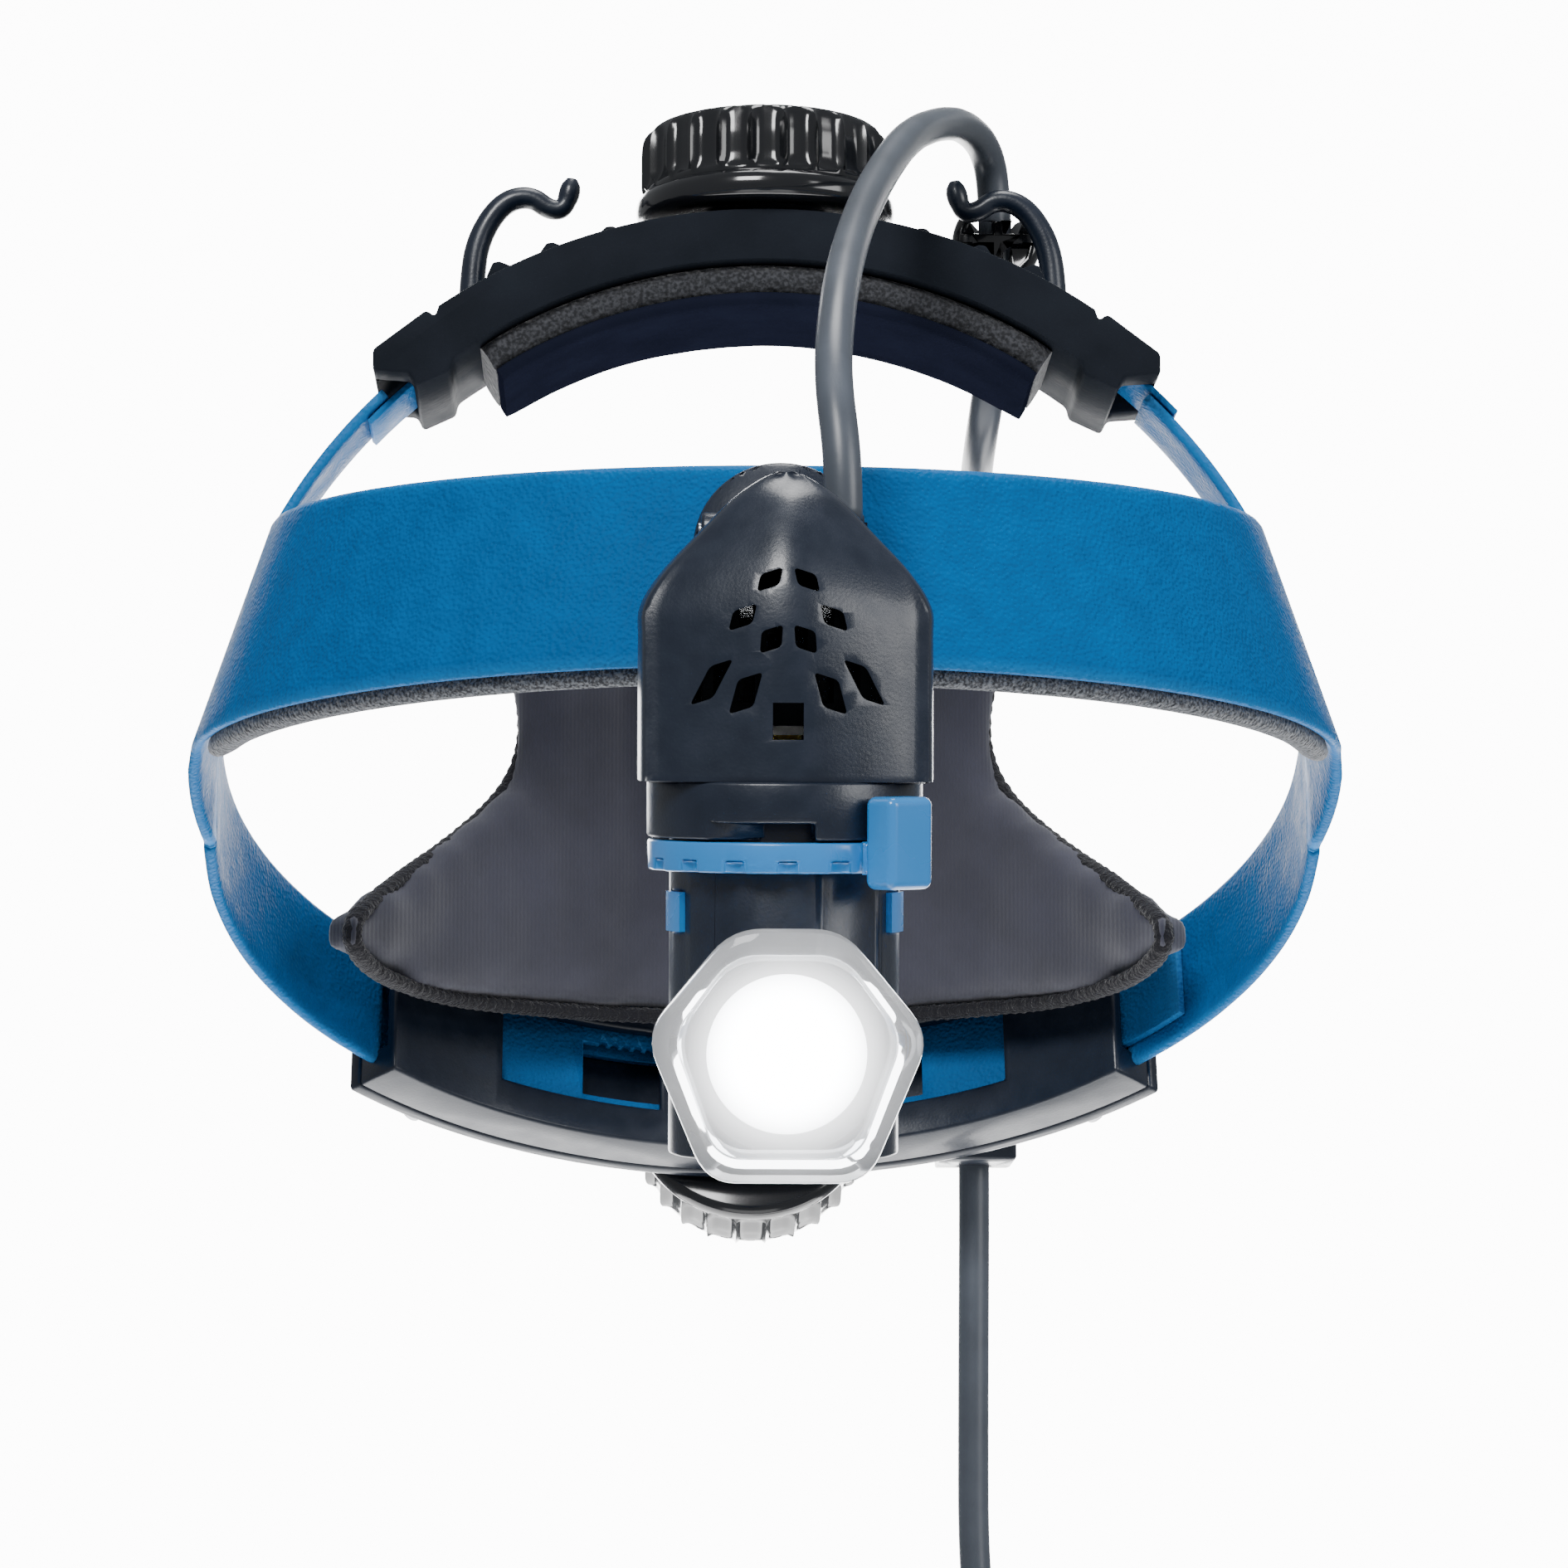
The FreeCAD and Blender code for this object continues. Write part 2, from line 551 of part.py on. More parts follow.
GLAND_Y = -6.0
GLAND_TOP = 1.0
LEAD_FRONT = (LAMP.multVec(V(8.0, GLAND_Y, GLAND_TOP)), LAMP.multVec(V(8.0, GLAND_Y, GLAND_TOP + 8.0)),
              V(6.6, -107.0, 18.5), V(7.6, -95.5, 30.5),
              V(9.6, -79.5, 42.0), V(12.4, -62.0, 53.0), V(16.2, -43.0, 64.0), V(21.0, -24.0, 74.5),
              V(26.5, -5.5, 81.5), V(31.2, 8.0, 85.0), V(35.4, 18.0, 84.0), V(37.0, 22.0, 77.0),
              V(37.0, 22.0, 62.0))
LEAD_REAR = (V(37.0, 22.0, 62.0), V(37.0, 22.0, 53.5), V(35.8, 28.5, 44.5), V(35.4, 41.0, 40.0),
             V(35.8, 57.5, 38.5), V(36.6, 75.5, 35.0), V(37.4, 92.0, 25.0), V(38.0, 102.0, 9.0),
             V(38.3, 106.8, -10.0), V(38.2, 108.4, -28.0), V(38.0, 109.0, -44.0), V(38.0, 109.0, -58.0))
CLIP = V(38.0, 109.0, -64.0)
COIL_CENTRE = V(37.0, 109.0, -206.0)
TAIL = (V(38.0, 109.0, -58.0), V(38.0, 109.0, -77.0), V(37.7, 109.0, -105.0), V(37.5, 108.9, -142.0),
        V(40.5, 109.0, -161.0), V(50.0, 109.0, -174.0), V(57.5, 109.0, -185.0))


def make_lead():
    lead_piece("lead_front", LEAD_FRONT)
    lead_piece("lead_rear", LEAD_REAR)
    lead_piece("lead_tail", TAIL)
    coil = Part.makeTorus(S.coil_radius, S.coil_bundle, COIL_CENTRE, Y_AXIS)
    solid("lead_coil", coil)
    tie = Part.makeTorus(S.coil_bundle + 1.2, 1.1, COIL_CENTRE + V(0, 0, S.coil_radius), X_AXIS)
    solid("coil_tie", tie)
    end = COIL_CENTRE + V(S.coil_radius, 0, 0)
    lead_piece("lead_end", (end + V(0, 0, -2), end + V(0.6, 0.3, -11), end + V(0.4, 0.2, -20.5),
                            end + V(0, 0, -30)))
    relief = Part.makeCone(3.4, 4.6, 14, end + V(0, 0, -30), V(0, 0, -1))
    solid("plug_relief", relief)
    body = Part.makeCylinder(5.5, 22, end + V(0, 0, -44), V(0, 0, -1))
    grip = Part.makeCylinder(6.0, 12, end + V(0, 0, -48), V(0, 0, -1))
    solid("plug_body", body.fuse(grip).removeSplitter())
    pin = Part.makeCylinder(2.75, 9.5, end + V(0, 0, -66), V(0, 0, -1))
    solid("plug_pin", pin)
    block = Part.makeBox(13, 16, 9, CLIP + V(-6.5, -11.5, -5.5))
    bore = Part.makeCylinder(S.lead_radius + 0.02, 30, CLIP - V(0, 0, 15))
    skin = Part.makeCylinder(S.cover_outer + 0.05, 80, V(0, 0, -40))
    skin.Placement = REAR
    solid("lead_clip", block.cut(bore).cut(skin).Solids[0])


# ---------------------------------------------------------------- lamp
def make_lamp_mount():
    """The round base on the front band with its two hinge ears, its backplate, screws and pin."""
    base = Part.makeCylinder(S.base_radius, 12, V(0, -100, -3), Y_AXIS)
    radius_low = S.band_radius + S.band_lean * 40
    radius_high = S.band_radius - S.band_lean * 40
    cone = Part.makeCone(radius_low, radius_high, 80, V(0, S.band_centre, -40))
    cone_skin = Part.makeCone(radius_low + 0.05, radius_high + 0.05, 80, V(0, S.band_centre, -40))
    dome = Part.makeSphere(20, V(0, -80.5, -3))
    base = base.common(dome).cut(cone_skin)
    ears = []
    for side in (-1, 1):
        start = 5.0 if side > 0 else -S.hinge_half
        ear = Part.makeCylinder(S.knuckle_radius, S.hinge_half - 5.0, V(start, S.hinge_y, S.hinge_z), X_AXIS)
        web = Part.makeBox(S.hinge_half - 5.0, 9.0, 3.6, V(start, S.hinge_y, S.hinge_z - 1.8))
        ears += [ear, web.cut(cone_skin)]
    base = base.fuse(ears).removeSplitter()
    bore = Part.makeCylinder(S.pin_radius, 60, V(-30, S.hinge_y, S.hinge_z), X_AXIS)
    screw_holes = [Part.makeCylinder(1.25, 30, V(x, -98, -9), Y_AXIS) for x in (-5, 5)]
    base = base.cut(Part.makeCompound([bore] + screw_holes))
    solid("lamp_mount_base", base)

    inner_skin = Part.makeCone(radius_low - S.band_thick - 0.05, radius_high - S.band_thick - 0.05, 80,
                               V(0, S.band_centre, -40))
    plate_core = Part.makeCone(radius_low - S.band_thick - 1.3, radius_high - S.band_thick - 1.3, 80,
                               V(0, S.band_centre, -40))
    plate = Part.makeCylinder(10.0, 20, V(0, -100, -1), Y_AXIS).common(inner_skin).cut(plate_core)
    solid("mount_backplate", plate.cut(Part.makeCompound(screw_holes)))
    screws = []
    for x in (-5, 5):
        shank = Part.makeCylinder(1.2, 6.0, V(x, -97.2, -9), Y_AXIS)
        head = Part.makeCylinder(2.1, 1.2, V(x, -91.25, -9), Y_AXIS)
        screws.append(shank.fuse(head).removeSplitter())
    solid("mount_screws", Part.makeCompound(screws))
    trim_screw_room(plate)
    disc_body("hinge_pin", "Sizes.pin_radius - 0.03", "2 * Sizes.hinge_half + 0.6",
              at(-S.hinge_half - 0.3, S.hinge_y, S.hinge_z, Rotation(Y_AXIS, 90)))


def trim_screw_room(plate):
    """Clearance for the mount screws in the band, and for the backplate in the brow pad."""
    shanks = [Part.makeCylinder(1.25, 12, V(x, -98, -9), Y_AXIS) for x in (-5, 5)]
    heads = [Part.makeCylinder(2.3, 3, V(x, -92.3, -9), Y_AXIS) for x in (-5, 5)]
    parts["front_band"].Shape = parts["front_band"].Shape.cut(Part.makeCompound(shanks))
    parts["brow_pad"].Shape = parts["brow_pad"].Shape.cut([plate] + heads)


HOOD_ROWS = (
    # height, half width, front of the ridge, front of the shoulders, back
    (6.2, 3.0, -21.0, -19.5, -15.0),
    (3.6, 6.4, -25.0, -21.0, -12.5),
    (-1.0, 10.4, -29.0, -22.5, -9.5),
    (-6.0, 15.4, -31.8, -24.0, -5.0),
    (-10.5, 18.6, -33.2, -25.0, -1.2),
    (-15.0, 19.1, -33.8, -25.8, 0.0),
    (-25.0, 19.1, -34.2, -27.0, 0.2),
    (-33.2, 19.1, -34.4, -28.0, 0.4),
)


def hood_sections(inset, low):
    sections = []
    for height, half, ridge, shoulder, back in HOOD_ROWS:
        half -= inset
        ridge += inset
        shoulder += inset * 0.8
        back -= inset
        level = height - inset * 1.2 if height > low + 1 else height - (1.0 if inset > 0 else 0.0)
        sections.append([(half, shoulder, level), (half * 0.55, (shoulder + ridge) / 2 - half * 0.06, level),
                         (0, ridge, level), (-half * 0.55, (shoulder + ridge) / 2 - half * 0.06, level),
                         (-half, shoulder, level), (-half, back - half * 0.18, level),
                         (-half * 0.7, back, level), (half * 0.7, back, level),
                         (half, back - half * 0.18, level)])
    return sections


VENTS = (
    # across, height, width, rise, slant
    (2.3, -7.2, 3.0, 2.6, 0.5), (5.8, -12.0, 3.6, 2.8, 0.6), (2.2, -14.6, 3.2, 3.2, 0.4),
    (10.0, -20.5, 2.6, 5.6, 2.4), (5.4, -21.8, 2.8, 5.2, 1.6),
)


def vent_tools():
    tools = []
    for side in (-1, 1):
        for across, height, width, rise, slant in VENTS:
            corners = [(across - width / 2 - slant / 2 + 0.4, height - rise / 2),
                       (across + width / 2 - slant / 2, height - rise / 2),
                       (across + width / 2 + slant / 2, height + rise / 2),
                       (across - width / 2 + slant / 2, height + rise / 2)]
            outline = [V(side * x, -40, z) for x, z in corners]
            face = Part.Face(Part.makePolygon(outline + outline[:1]))
            tools.append(face.extrude(V(0, 22, 0)))
    return Part.makeCompound(tools)


def make_hood():
    """The vented hood, the arm it hangs from and the gland that takes the lead."""
    shell = loft(hood_sections(0.0, S.hood_bottom), True)
    shell = shell.cut(loft(hood_sections(S.hood_wall, S.hood_bottom), True))
    shell = shell.cut(vent_tools())
    arm_room = Part.makeBox(9.8, 16.4, 9.6, V(-4.9, -16.3, -8.2))
    shell = shell.cut(arm_room)
    shell = shell.cut(Part.makeCylinder(3.3, 18, V(8, GLAND_Y, -12)))
    shell = shell.cut(hood_screw_shapes())
    shell = shell.cut(Part.makeBox(2.8, 4, 5, V(-1.4, -36, -28.0)))
    solid("lamp_hood", max(shell.Solids, key=lambda item: item.Volume), LAMP)

    arm = Part.makeCylinder(S.knuckle_radius, 9.4, V(-4.7, 0, 0), X_AXIS)
    arm = arm.fuse(Part.makeBox(9.4, 16.0, 3.4, V(-4.7, -16.0, -2.2)))
    arm = arm.fuse(Part.makeBox(9.4, 4.0, 9.0, V(-4.7, -16.0, -8.0)))
    arm = arm.removeSplitter().cut(Part.makeCylinder(S.pin_radius + 0.02, 20, V(-10, 0, 0), X_AXIS))
    solid("lamp_arm", arm, LAMP)

    gland = Part.makeCylinder(3.2, GLAND_TOP + 9.0, V(8, GLAND_Y, -9.0))
    neck_groove = Part.makeTorus(3.5, 0.7, V(8, GLAND_Y, GLAND_TOP - 1.6))
    solid("lead_gland", gland.cut(neck_groove), LAMP)


def make_light_source():
    """The heat sink under the hood, the LED on its board, the collar and the first lens."""
    axis = S.lamp_axis
    sink = Part.makeBox(22, 16, 3, V(-11, -25, -26))
    for index in range(7):
        sink = sink.fuse(Part.makeBox(1.4, 16, 14, V(-11 + index * 3.43, -25, -23)))
    sink = sink.cut(Part.makeBox(10.4, 6, 30, V(-5.2, -17, -17)))
    solid("heat_sink", sink.removeSplitter(), LAMP)
    disc_body("led_board", "8", "1.2", LAMP.multiply(at(0, axis, -27.2)))
    disc_body("led_emitter", "2.2", "0.8", LAMP.multiply(at(0, axis, -28.0)))

    collar = Part.makeCylinder(S.collar_radius, S.hood_bottom - S.collar_bottom, V(0, axis, S.collar_bottom))
    collar = collar.cut(Part.makeCylinder(S.barrel_radius + 0.05, 20, V(0, axis, -50)))
    collar = collar.cut(Part.makeBox(14, 6, 2.2, V(-10.5, axis - 21, S.collar_bottom)))
    solid("lamp_collar", collar, LAMP)

    dome = Part.makeSphere(22.0, V(0, axis, -51.0))
    solid("condenser_lens", dome.common(Part.makeCylinder(11.0, 6.0, V(0, axis, -33.6))), LAMP)


def make_aperture():
    """The ring that turns the aperture disc, scalloped underneath, with its grip."""
    axis = S.lamp_axis
    ring = Part.makeCylinder(S.ring_radius, S.ring_top - S.ring_bottom, V(0, axis, S.ring_bottom))
    ring = ring.cut(Part.makeCylinder(S.barrel_radius + 0.08, 20, V(0, axis, -50)))
    scallops = []
    for index in range(16):
        scallop = Part.makeCylinder(2.0, 1.6, V(S.ring_radius + 1.2, 0, S.ring_bottom - 0.1))
        scallop.rotate(V(0, 0, 0), Z_AXIS, index * 22.5)
        scallop.translate(V(0, axis, 0))
        scallops.append(scallop)
    ring = ring.cut(Part.makeCompound(scallops))
    grip = Part.makeBox(5.2, 8.0, 12.0, V(S.collar_radius + 0.4, -4.0, -47.0))
    grip = grip.makeFillet(1.2, [edge for edge in grip.Edges])
    foot = Part.makeBox(4.0, 6.0, 3.6, V(S.ring_radius - 1.4, -3.0, -44.8))
    grip = grip.fuse(foot)
    grip.rotate(V(0, 0, 0), Z_AXIS, -47)
    grip.translate(V(0, axis, 0))
    solid("aperture_ring", ring.fuse(grip).removeSplitter(), LAMP)
    inside = S.barrel_radius - S.barrel_wall
    disc = Part.makeCylinder(inside - 0.15, 0.6, V(0, axis, -43.3))
    disc = disc.fuse(Part.makeBox(inside + 2.0, 2.4, 0.6, V(0, axis - 1.2, -43.3)))
    disc = disc.removeSplitter().cut(Part.makeCylinder(4.5, 3, V(0, axis, -44.5)))
    solid("aperture_disc", disc, LAMP)


def make_barrel():
    """The barrel, the mirror that folds the beam forward, the front lens and its ring."""
    axis = S.lamp_axis
    inside = S.barrel_radius - S.barrel_wall
    tube_height = -34.0 - S.barrel_bottom
    barrel = Part.makeCylinder(S.barrel_radius, tube_height, V(0, axis, S.barrel_bottom))
    barrel = barrel.cut(Part.makeCylinder(inside, tube_height - 2.0, V(0, axis, S.barrel_bottom + 2.0)))
    slot = sector(inside - 1, S.barrel_radius + 1, -75, 15, -43.6, -42.4)
    slot.translate(V(0, axis, 0))
    barrel = barrel.cut(slot)
    neck = Part.makeCylinder(S.lens_radius + 2.0, 19.0, V(0, -33.2, S.lens_height), Y_AXIS)
    neck = neck.cut(Part.makeCylinder(inside, 80, V(0, axis, -110)))
    barrel = barrel.fuse(neck).removeSplitter()
    barrel = barrel.cut(Part.makeCylinder(S.lens_radius + 0.1, 24.0, V(0, -40, S.lens_height), Y_AXIS))
    solid("optics_barrel", barrel.cut(tab_shapes()), LAMP)

    carrier = Part.makeCylinder(inside - 0.1, 22, V(0, axis, -80.4))
    wedge = Part.Face(Part.makePolygon([V(-20, -34, -81), V(-20, -2, -49), V(-20, -34, -49), V(-20, -34, -81)]))
    carrier = carrier.cut(wedge.extrude(V(40, 0, 0)))
    mirror = Part.makeBox(16, 0.9, 20, V(-8, 0, -10))
    mirror.rotate(V(0, 0, 0), X_AXIS, -45)
    mirror.translate(V(0, axis - 0.36, -65.45))
    lens_room = Part.makeCylinder(S.lens_radius + 0.3, 20, V(0, -40, S.lens_height), Y_AXIS)
    carrier = carrier.cut([mirror, lens_room])
    solid("mirror_carrier", max(carrier.Solids, key=lambda item: item.Volume), LAMP)
    inner_room = Part.makeCylinder(inside - 0.1, 60, V(0, axis, -90))
    solid("fold_mirror", mirror.common(inner_room), LAMP)

    dome = Part.makeSphere(24.0, V(0, -9.6, S.lens_height))
    lens = Part.makeCylinder(S.lens_radius, 3.4, V(0, -32.9, S.lens_height), Y_AXIS).common(dome)
    solid("projection_lens", lens, LAMP)
    disc_body("lens_retaining_ring", "Sizes.lens_radius + 1.2", "1.2", LAMP.multiply(
        at(0, -33.2, S.lens_height, Rotation(X_AXIS, 90))), "Sizes.lens_radius - 0.6")
    solid("index_tabs", tab_shapes(), LAMP)
    solid("hood_screws", hood_screw_shapes(), LAMP)


def window_outline(inset):
    """The six-sided window, rounded at its corners."""
    corners = [(7.2, -52.1 - inset), (18.4 - inset * 1.1, -65.6), (10.4 - inset * 0.4, -84.6 + inset)]
    corners = corners + [(-x, z) for x, z in corners[::-1]]
    points = [V(x, 0, z) for x, z in corners]
    edges = []
    count = len(points)
    for index in range(count):
        here = points[index]
        before = (points[index - 1] - here).normalize() * 3.6
        after = (points[(index + 1) % count] - here).normalize() * 3.6
        following = points[(index + 1) % count]
        back = (here - following).normalize() * 3.6
        middle = here * 0.5 + (here + before + here + after) * 0.25
        edges.append(Part.Arc(here + before, middle, here + after).toShape())
        edges.append(Part.LineSegment(here + after, following + back).toShape())
    return Part.Wire(edges)


def window_block(inset, front, back):
    face = Part.Face(window_outline(inset))
    block = face.extrude(V(0, back - front, 0))
    block.translate(V(0, front, 0))
    return block


def make_window():
    bezel = window_block(0.0, S.window_front + 0.8, S.window_back - 0.5)
    taper = Part.makeLoft([shifted(window_outline(0.0), S.window_front + 0.8),
                           shifted(window_outline(1.2), S.window_front)], True, True)
    bezel = bezel.fuse(taper).removeSplitter()
    bezel = bezel.cut(window_block(3.0, S.window_front - 1, S.window_back + 2))
    back_plate_room = Part.makeCylinder(S.lens_radius + 2.05, 12, V(0, -34.6, S.lens_height), Y_AXIS)
    bezel = bezel.cut(back_plate_room)
    solid("front_bezel", bezel, LAMP)
    glass = window_block(3.1, S.window_front + 0.5, S.window_front + 2.0)
    solid("window_glass", glass, LAMP)


def shifted(wire, y):
    copy = wire.copy()
    copy.translate(V(0, y, 0))
    return copy


def tab_shapes():
    """The two index tabs let into the sides of the barrel."""
    tabs = []
    for turn in (-20, 200):
        tab = sector(S.barrel_radius - 0.6, S.barrel_radius + 0.7, -9, 9, -53.0, -47.8)
        tab.rotate(V(0, 0, 0), Z_AXIS, turn)
        tab.translate(V(0, S.lamp_axis, 0))
        tabs.append(tab)
    return Part.makeCompound(tabs)


def hood_screw_shapes():
    return Part.makeCompound([Part.makeCylinder(1.6, 1.4, V(x, -0.7, -28.0), Y_AXIS) for x in (-13, 13)])


# ---------------------------------------------------------------- whole object
make_headband()
make_lamp_mount()
make_hood()
make_light_source()
make_aperture()
make_barrel()
make_window()
make_rear_unit()
make_crown_unit()
make_lead()

doc.recompute()
for item in doc.Objects:
    if "Invalid" in item.State or "Error" in item.State:
        raise RuntimeError("%s did not compute: %s" % (item.Label, item.State))
os.makedirs("parts", exist_ok=True)
for name, item in parts.items():
    shape = item.Shape
    if shape.isNull() or not shape.isValid() or shape.Volume <= 0:
        raise RuntimeError("%s has no valid shape" % name)
    shape.exportStep("parts/%s.step" % name)
print(len(parts), "sub-parts")
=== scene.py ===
import json
import math
import bmesh
import bpy
from mathutils import Matrix, Vector, noise


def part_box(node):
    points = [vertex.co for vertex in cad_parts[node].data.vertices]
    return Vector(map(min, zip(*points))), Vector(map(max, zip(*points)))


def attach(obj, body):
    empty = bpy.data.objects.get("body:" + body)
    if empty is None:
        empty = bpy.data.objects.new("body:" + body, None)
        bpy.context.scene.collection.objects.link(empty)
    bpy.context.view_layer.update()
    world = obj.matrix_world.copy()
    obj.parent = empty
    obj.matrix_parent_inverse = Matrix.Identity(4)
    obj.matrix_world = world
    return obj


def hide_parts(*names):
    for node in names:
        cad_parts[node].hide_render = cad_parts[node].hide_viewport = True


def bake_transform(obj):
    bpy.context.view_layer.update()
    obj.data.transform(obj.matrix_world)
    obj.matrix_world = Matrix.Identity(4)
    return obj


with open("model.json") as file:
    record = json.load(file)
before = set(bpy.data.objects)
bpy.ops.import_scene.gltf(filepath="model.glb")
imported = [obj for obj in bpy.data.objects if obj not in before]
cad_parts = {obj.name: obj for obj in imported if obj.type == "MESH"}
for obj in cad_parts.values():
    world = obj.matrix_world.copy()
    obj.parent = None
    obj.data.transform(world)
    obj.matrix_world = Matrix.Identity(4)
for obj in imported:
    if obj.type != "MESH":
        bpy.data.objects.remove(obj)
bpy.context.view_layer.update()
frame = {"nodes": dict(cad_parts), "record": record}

NODES = frame["nodes"]
MM = 0.001

# ---- camera and light
CAMERA_DISTANCE = 0.880
CAMERA_AZIMUTH = math.radians(-1.3)
CAMERA_ELEVATION = math.radians(-10.0)
CAMERA_LENS = 132.3
AIM = Vector((0.0029, 0.0, -0.0207))
ROOM_LIGHT = 0.30
# name, place, size, power
LIGHTS = (("key", (-0.30, -1.0, 0.70), 0.40, 13.0), ("fill", (0.85, -0.6, 0.25), 0.5, 4.5),
          ("top", (0.1, 0.1, 1.1), 0.5, 7.0), ("under", (0.0, -0.35, -0.6), 0.5, 1.2))
# name, half size, place, tilt in degrees, brightness
BACKDROPS = (("backdrop", 0.75, (0.0, 1.9, 0.2), 90.0, 12.0), ("table", 0.55, (0.0, 0.55, -0.6), 0.0, 3.0))


def make_camera():
    data = bpy.data.cameras.new("camera")
    data.lens = CAMERA_LENS
    data.sensor_width = 36.0
    data.clip_start = 0.05
    camera = bpy.data.objects.new("camera", data)
    flat = math.cos(CAMERA_ELEVATION)
    heading = Vector((-math.sin(CAMERA_AZIMUTH) * flat, math.cos(CAMERA_AZIMUTH) * flat,
                      -math.sin(CAMERA_ELEVATION)))
    camera.location = -CAMERA_DISTANCE * heading
    camera.rotation_euler = (AIM - camera.location).to_track_quat("-Z", "Y").to_euler()
    bpy.context.scene.collection.objects.link(camera)
    bpy.context.scene.camera = camera


def area_light(name, place, size, power):
    """A square light aimed at the middle of the object."""
    data = bpy.data.lights.new(name, "AREA")
    data.size = size
    data.energy = power
    light = bpy.data.objects.new(name, data)
    light.location = place
    light.rotation_euler = (Vector() - Vector(place)).to_track_quat("-Z", "Y").to_euler()
    bpy.context.scene.collection.objects.link(light)


def make_studio():
    """A pale room, four soft lights, and lit white planes behind and below."""
    world = bpy.data.worlds.new("studio")
    world.use_nodes = True
    background = world.node_tree.nodes["Background"]
    background.inputs["Color"].default_value = (0.93, 0.96, 1.0, 1.0)
    background.inputs["Strength"].default_value = ROOM_LIGHT
    bpy.context.scene.world = world
    for light in LIGHTS:
        area_light(*light)
    for name, size, place, tilt, brightness in BACKDROPS:
        mesh = bmesh.new()
        bmesh.ops.create_grid(mesh, x_segments=2, y_segments=2, size=size)
        bmesh.ops.rotate(mesh, verts=mesh.verts, matrix=Matrix.Rotation(math.radians(tilt), 3, "X"))
        bmesh.ops.translate(mesh, verts=mesh.verts, vec=place)
        data = bpy.data.meshes.new(name)
        mesh.to_mesh(data)
        mesh.free()
        item = bpy.data.objects.new(name, data)
        bpy.context.scene.collection.objects.link(item)
        material, _, shader = nodes_of(name)
        shader.inputs["Base Color"].default_value = (0.95, 0.95, 0.95, 1.0)
        shader.inputs["Emission Color"].default_value = (1.0, 1.0, 1.0, 1.0)
        shader.inputs["Emission Strength"].default_value = brightness
        data.materials.append(material)


# ---- materials
def nodes_of(name):
    material = bpy.data.materials.new(name)
    material.use_nodes = True
    tree = material.node_tree
    return material, tree, tree.nodes["Principled BSDF"]


def add(tree, kind, **inputs):
    node = tree.nodes.new(kind)
    for key, value in inputs.items():
        node.inputs[key.replace("_", " ")].default_value = value
    return node


def grain(tree, scale, detail=4.0, kind="noise"):
    coordinates = tree.nodes.new("ShaderNodeTexCoord")
    if kind == "cells":
        texture = add(tree, "ShaderNodeTexVoronoi", Scale=scale)
        texture.feature = "SMOOTH_F1"
        out = texture.outputs["Distance"]
    else:
        texture = add(tree, "ShaderNodeTexNoise", Scale=scale, Detail=detail)
        out = texture.outputs["Fac"]
    tree.links.new(coordinates.outputs["Object"], texture.inputs["Vector"])
    return out


def ramp(tree, source, low, high, start=0.3, end=0.7):
    node = tree.nodes.new("ShaderNodeValToRGB")
    node.color_ramp.elements[0].position = start
    node.color_ramp.elements[1].position = end
    node.color_ramp.elements[0].color = (*low, 1.0)
    node.color_ramp.elements[1].color = (*high, 1.0)
    tree.links.new(source, node.inputs["Fac"])
    return node.outputs["Color"]


def spread(tree, source, low, high):
    node = tree.nodes.new("ShaderNodeMapRange")
    node.inputs["From Min"].default_value = 0.3
    node.inputs["From Max"].default_value = 0.7
    node.inputs["To Min"].default_value = low
    node.inputs["To Max"].default_value = high
    tree.links.new(source, node.inputs["Value"])
    return node.outputs["Result"]


def bump(tree, shader, source, strength, distance):
    node = tree.nodes.new("ShaderNodeBump")
    node.inputs["Strength"].default_value = strength
    node.inputs["Distance"].default_value = distance
    tree.links.new(source, node.inputs["Height"])
    tree.links.new(node.outputs["Normal"], shader.inputs["Normal"])


def shade(color, factor):
    return tuple(min(1.0, channel * factor) for channel in color)


def painted(name, color, roughness, scale, strength, variation=0.12, kind="noise", distance=0.0002,
            coat=0.0, sheen=0.0, specular=0.5, edge=None):
    """Moulded plastic, rubber or cloth: mottled colour, uneven gloss and a bumped grain; edge is a painted
    highlight colour mixed in on sharp edges.
    """
    material, tree, shader = nodes_of(name)
    slow = grain(tree, scale * 0.12)
    fine = grain(tree, scale, kind=kind)
    tone = ramp(tree, slow, shade(color, 1.0 - variation), shade(color, 1.0 + variation))
    # painted highlight: the edge colour is mixed in where the surface is pointy, along sharp convex edges
    if edge:
        geometry = tree.nodes.new("ShaderNodeNewGeometry")
        edge_highlight_mask = ramp(tree, geometry.outputs["Pointiness"], (0, 0, 0), (1, 1, 1), 0.52, 0.6)
        mix = tree.nodes.new("ShaderNodeMix")
        mix.data_type = "RGBA"
        tree.links.new(edge_highlight_mask, mix.inputs["Factor"])
        tree.links.new(tone, mix.inputs["A"])
        mix.inputs["B"].default_value = (*edge, 1.0)
        tone = mix.outputs["Result"]
    tree.links.new(tone, shader.inputs["Base Color"])
    gloss = spread(tree, slow, roughness * 0.85, min(1.0, roughness * 1.15))
    tree.links.new(gloss, shader.inputs["Roughness"])
    shader.inputs["Coat Weight"].default_value = coat
    shader.inputs["Coat Roughness"].default_value = 0.12
    shader.inputs["Sheen Weight"].default_value = sheen
    shader.inputs["Sheen Roughness"].default_value = 0.4
    shader.inputs["Specular IOR Level"].default_value = specular
    bump(tree, shader, fine, strength, distance)
    return material


def metal(name, color, roughness, scale):
    material = painted(name, color, roughness, scale, 0.25, 0.06)
    material.node_tree.nodes["Principled BSDF"].inputs["Metallic"].default_value = 1.0
    return material


FIBRE_ROUGHNESS = 0.95
FIBRE_STRENGTH = 0.9


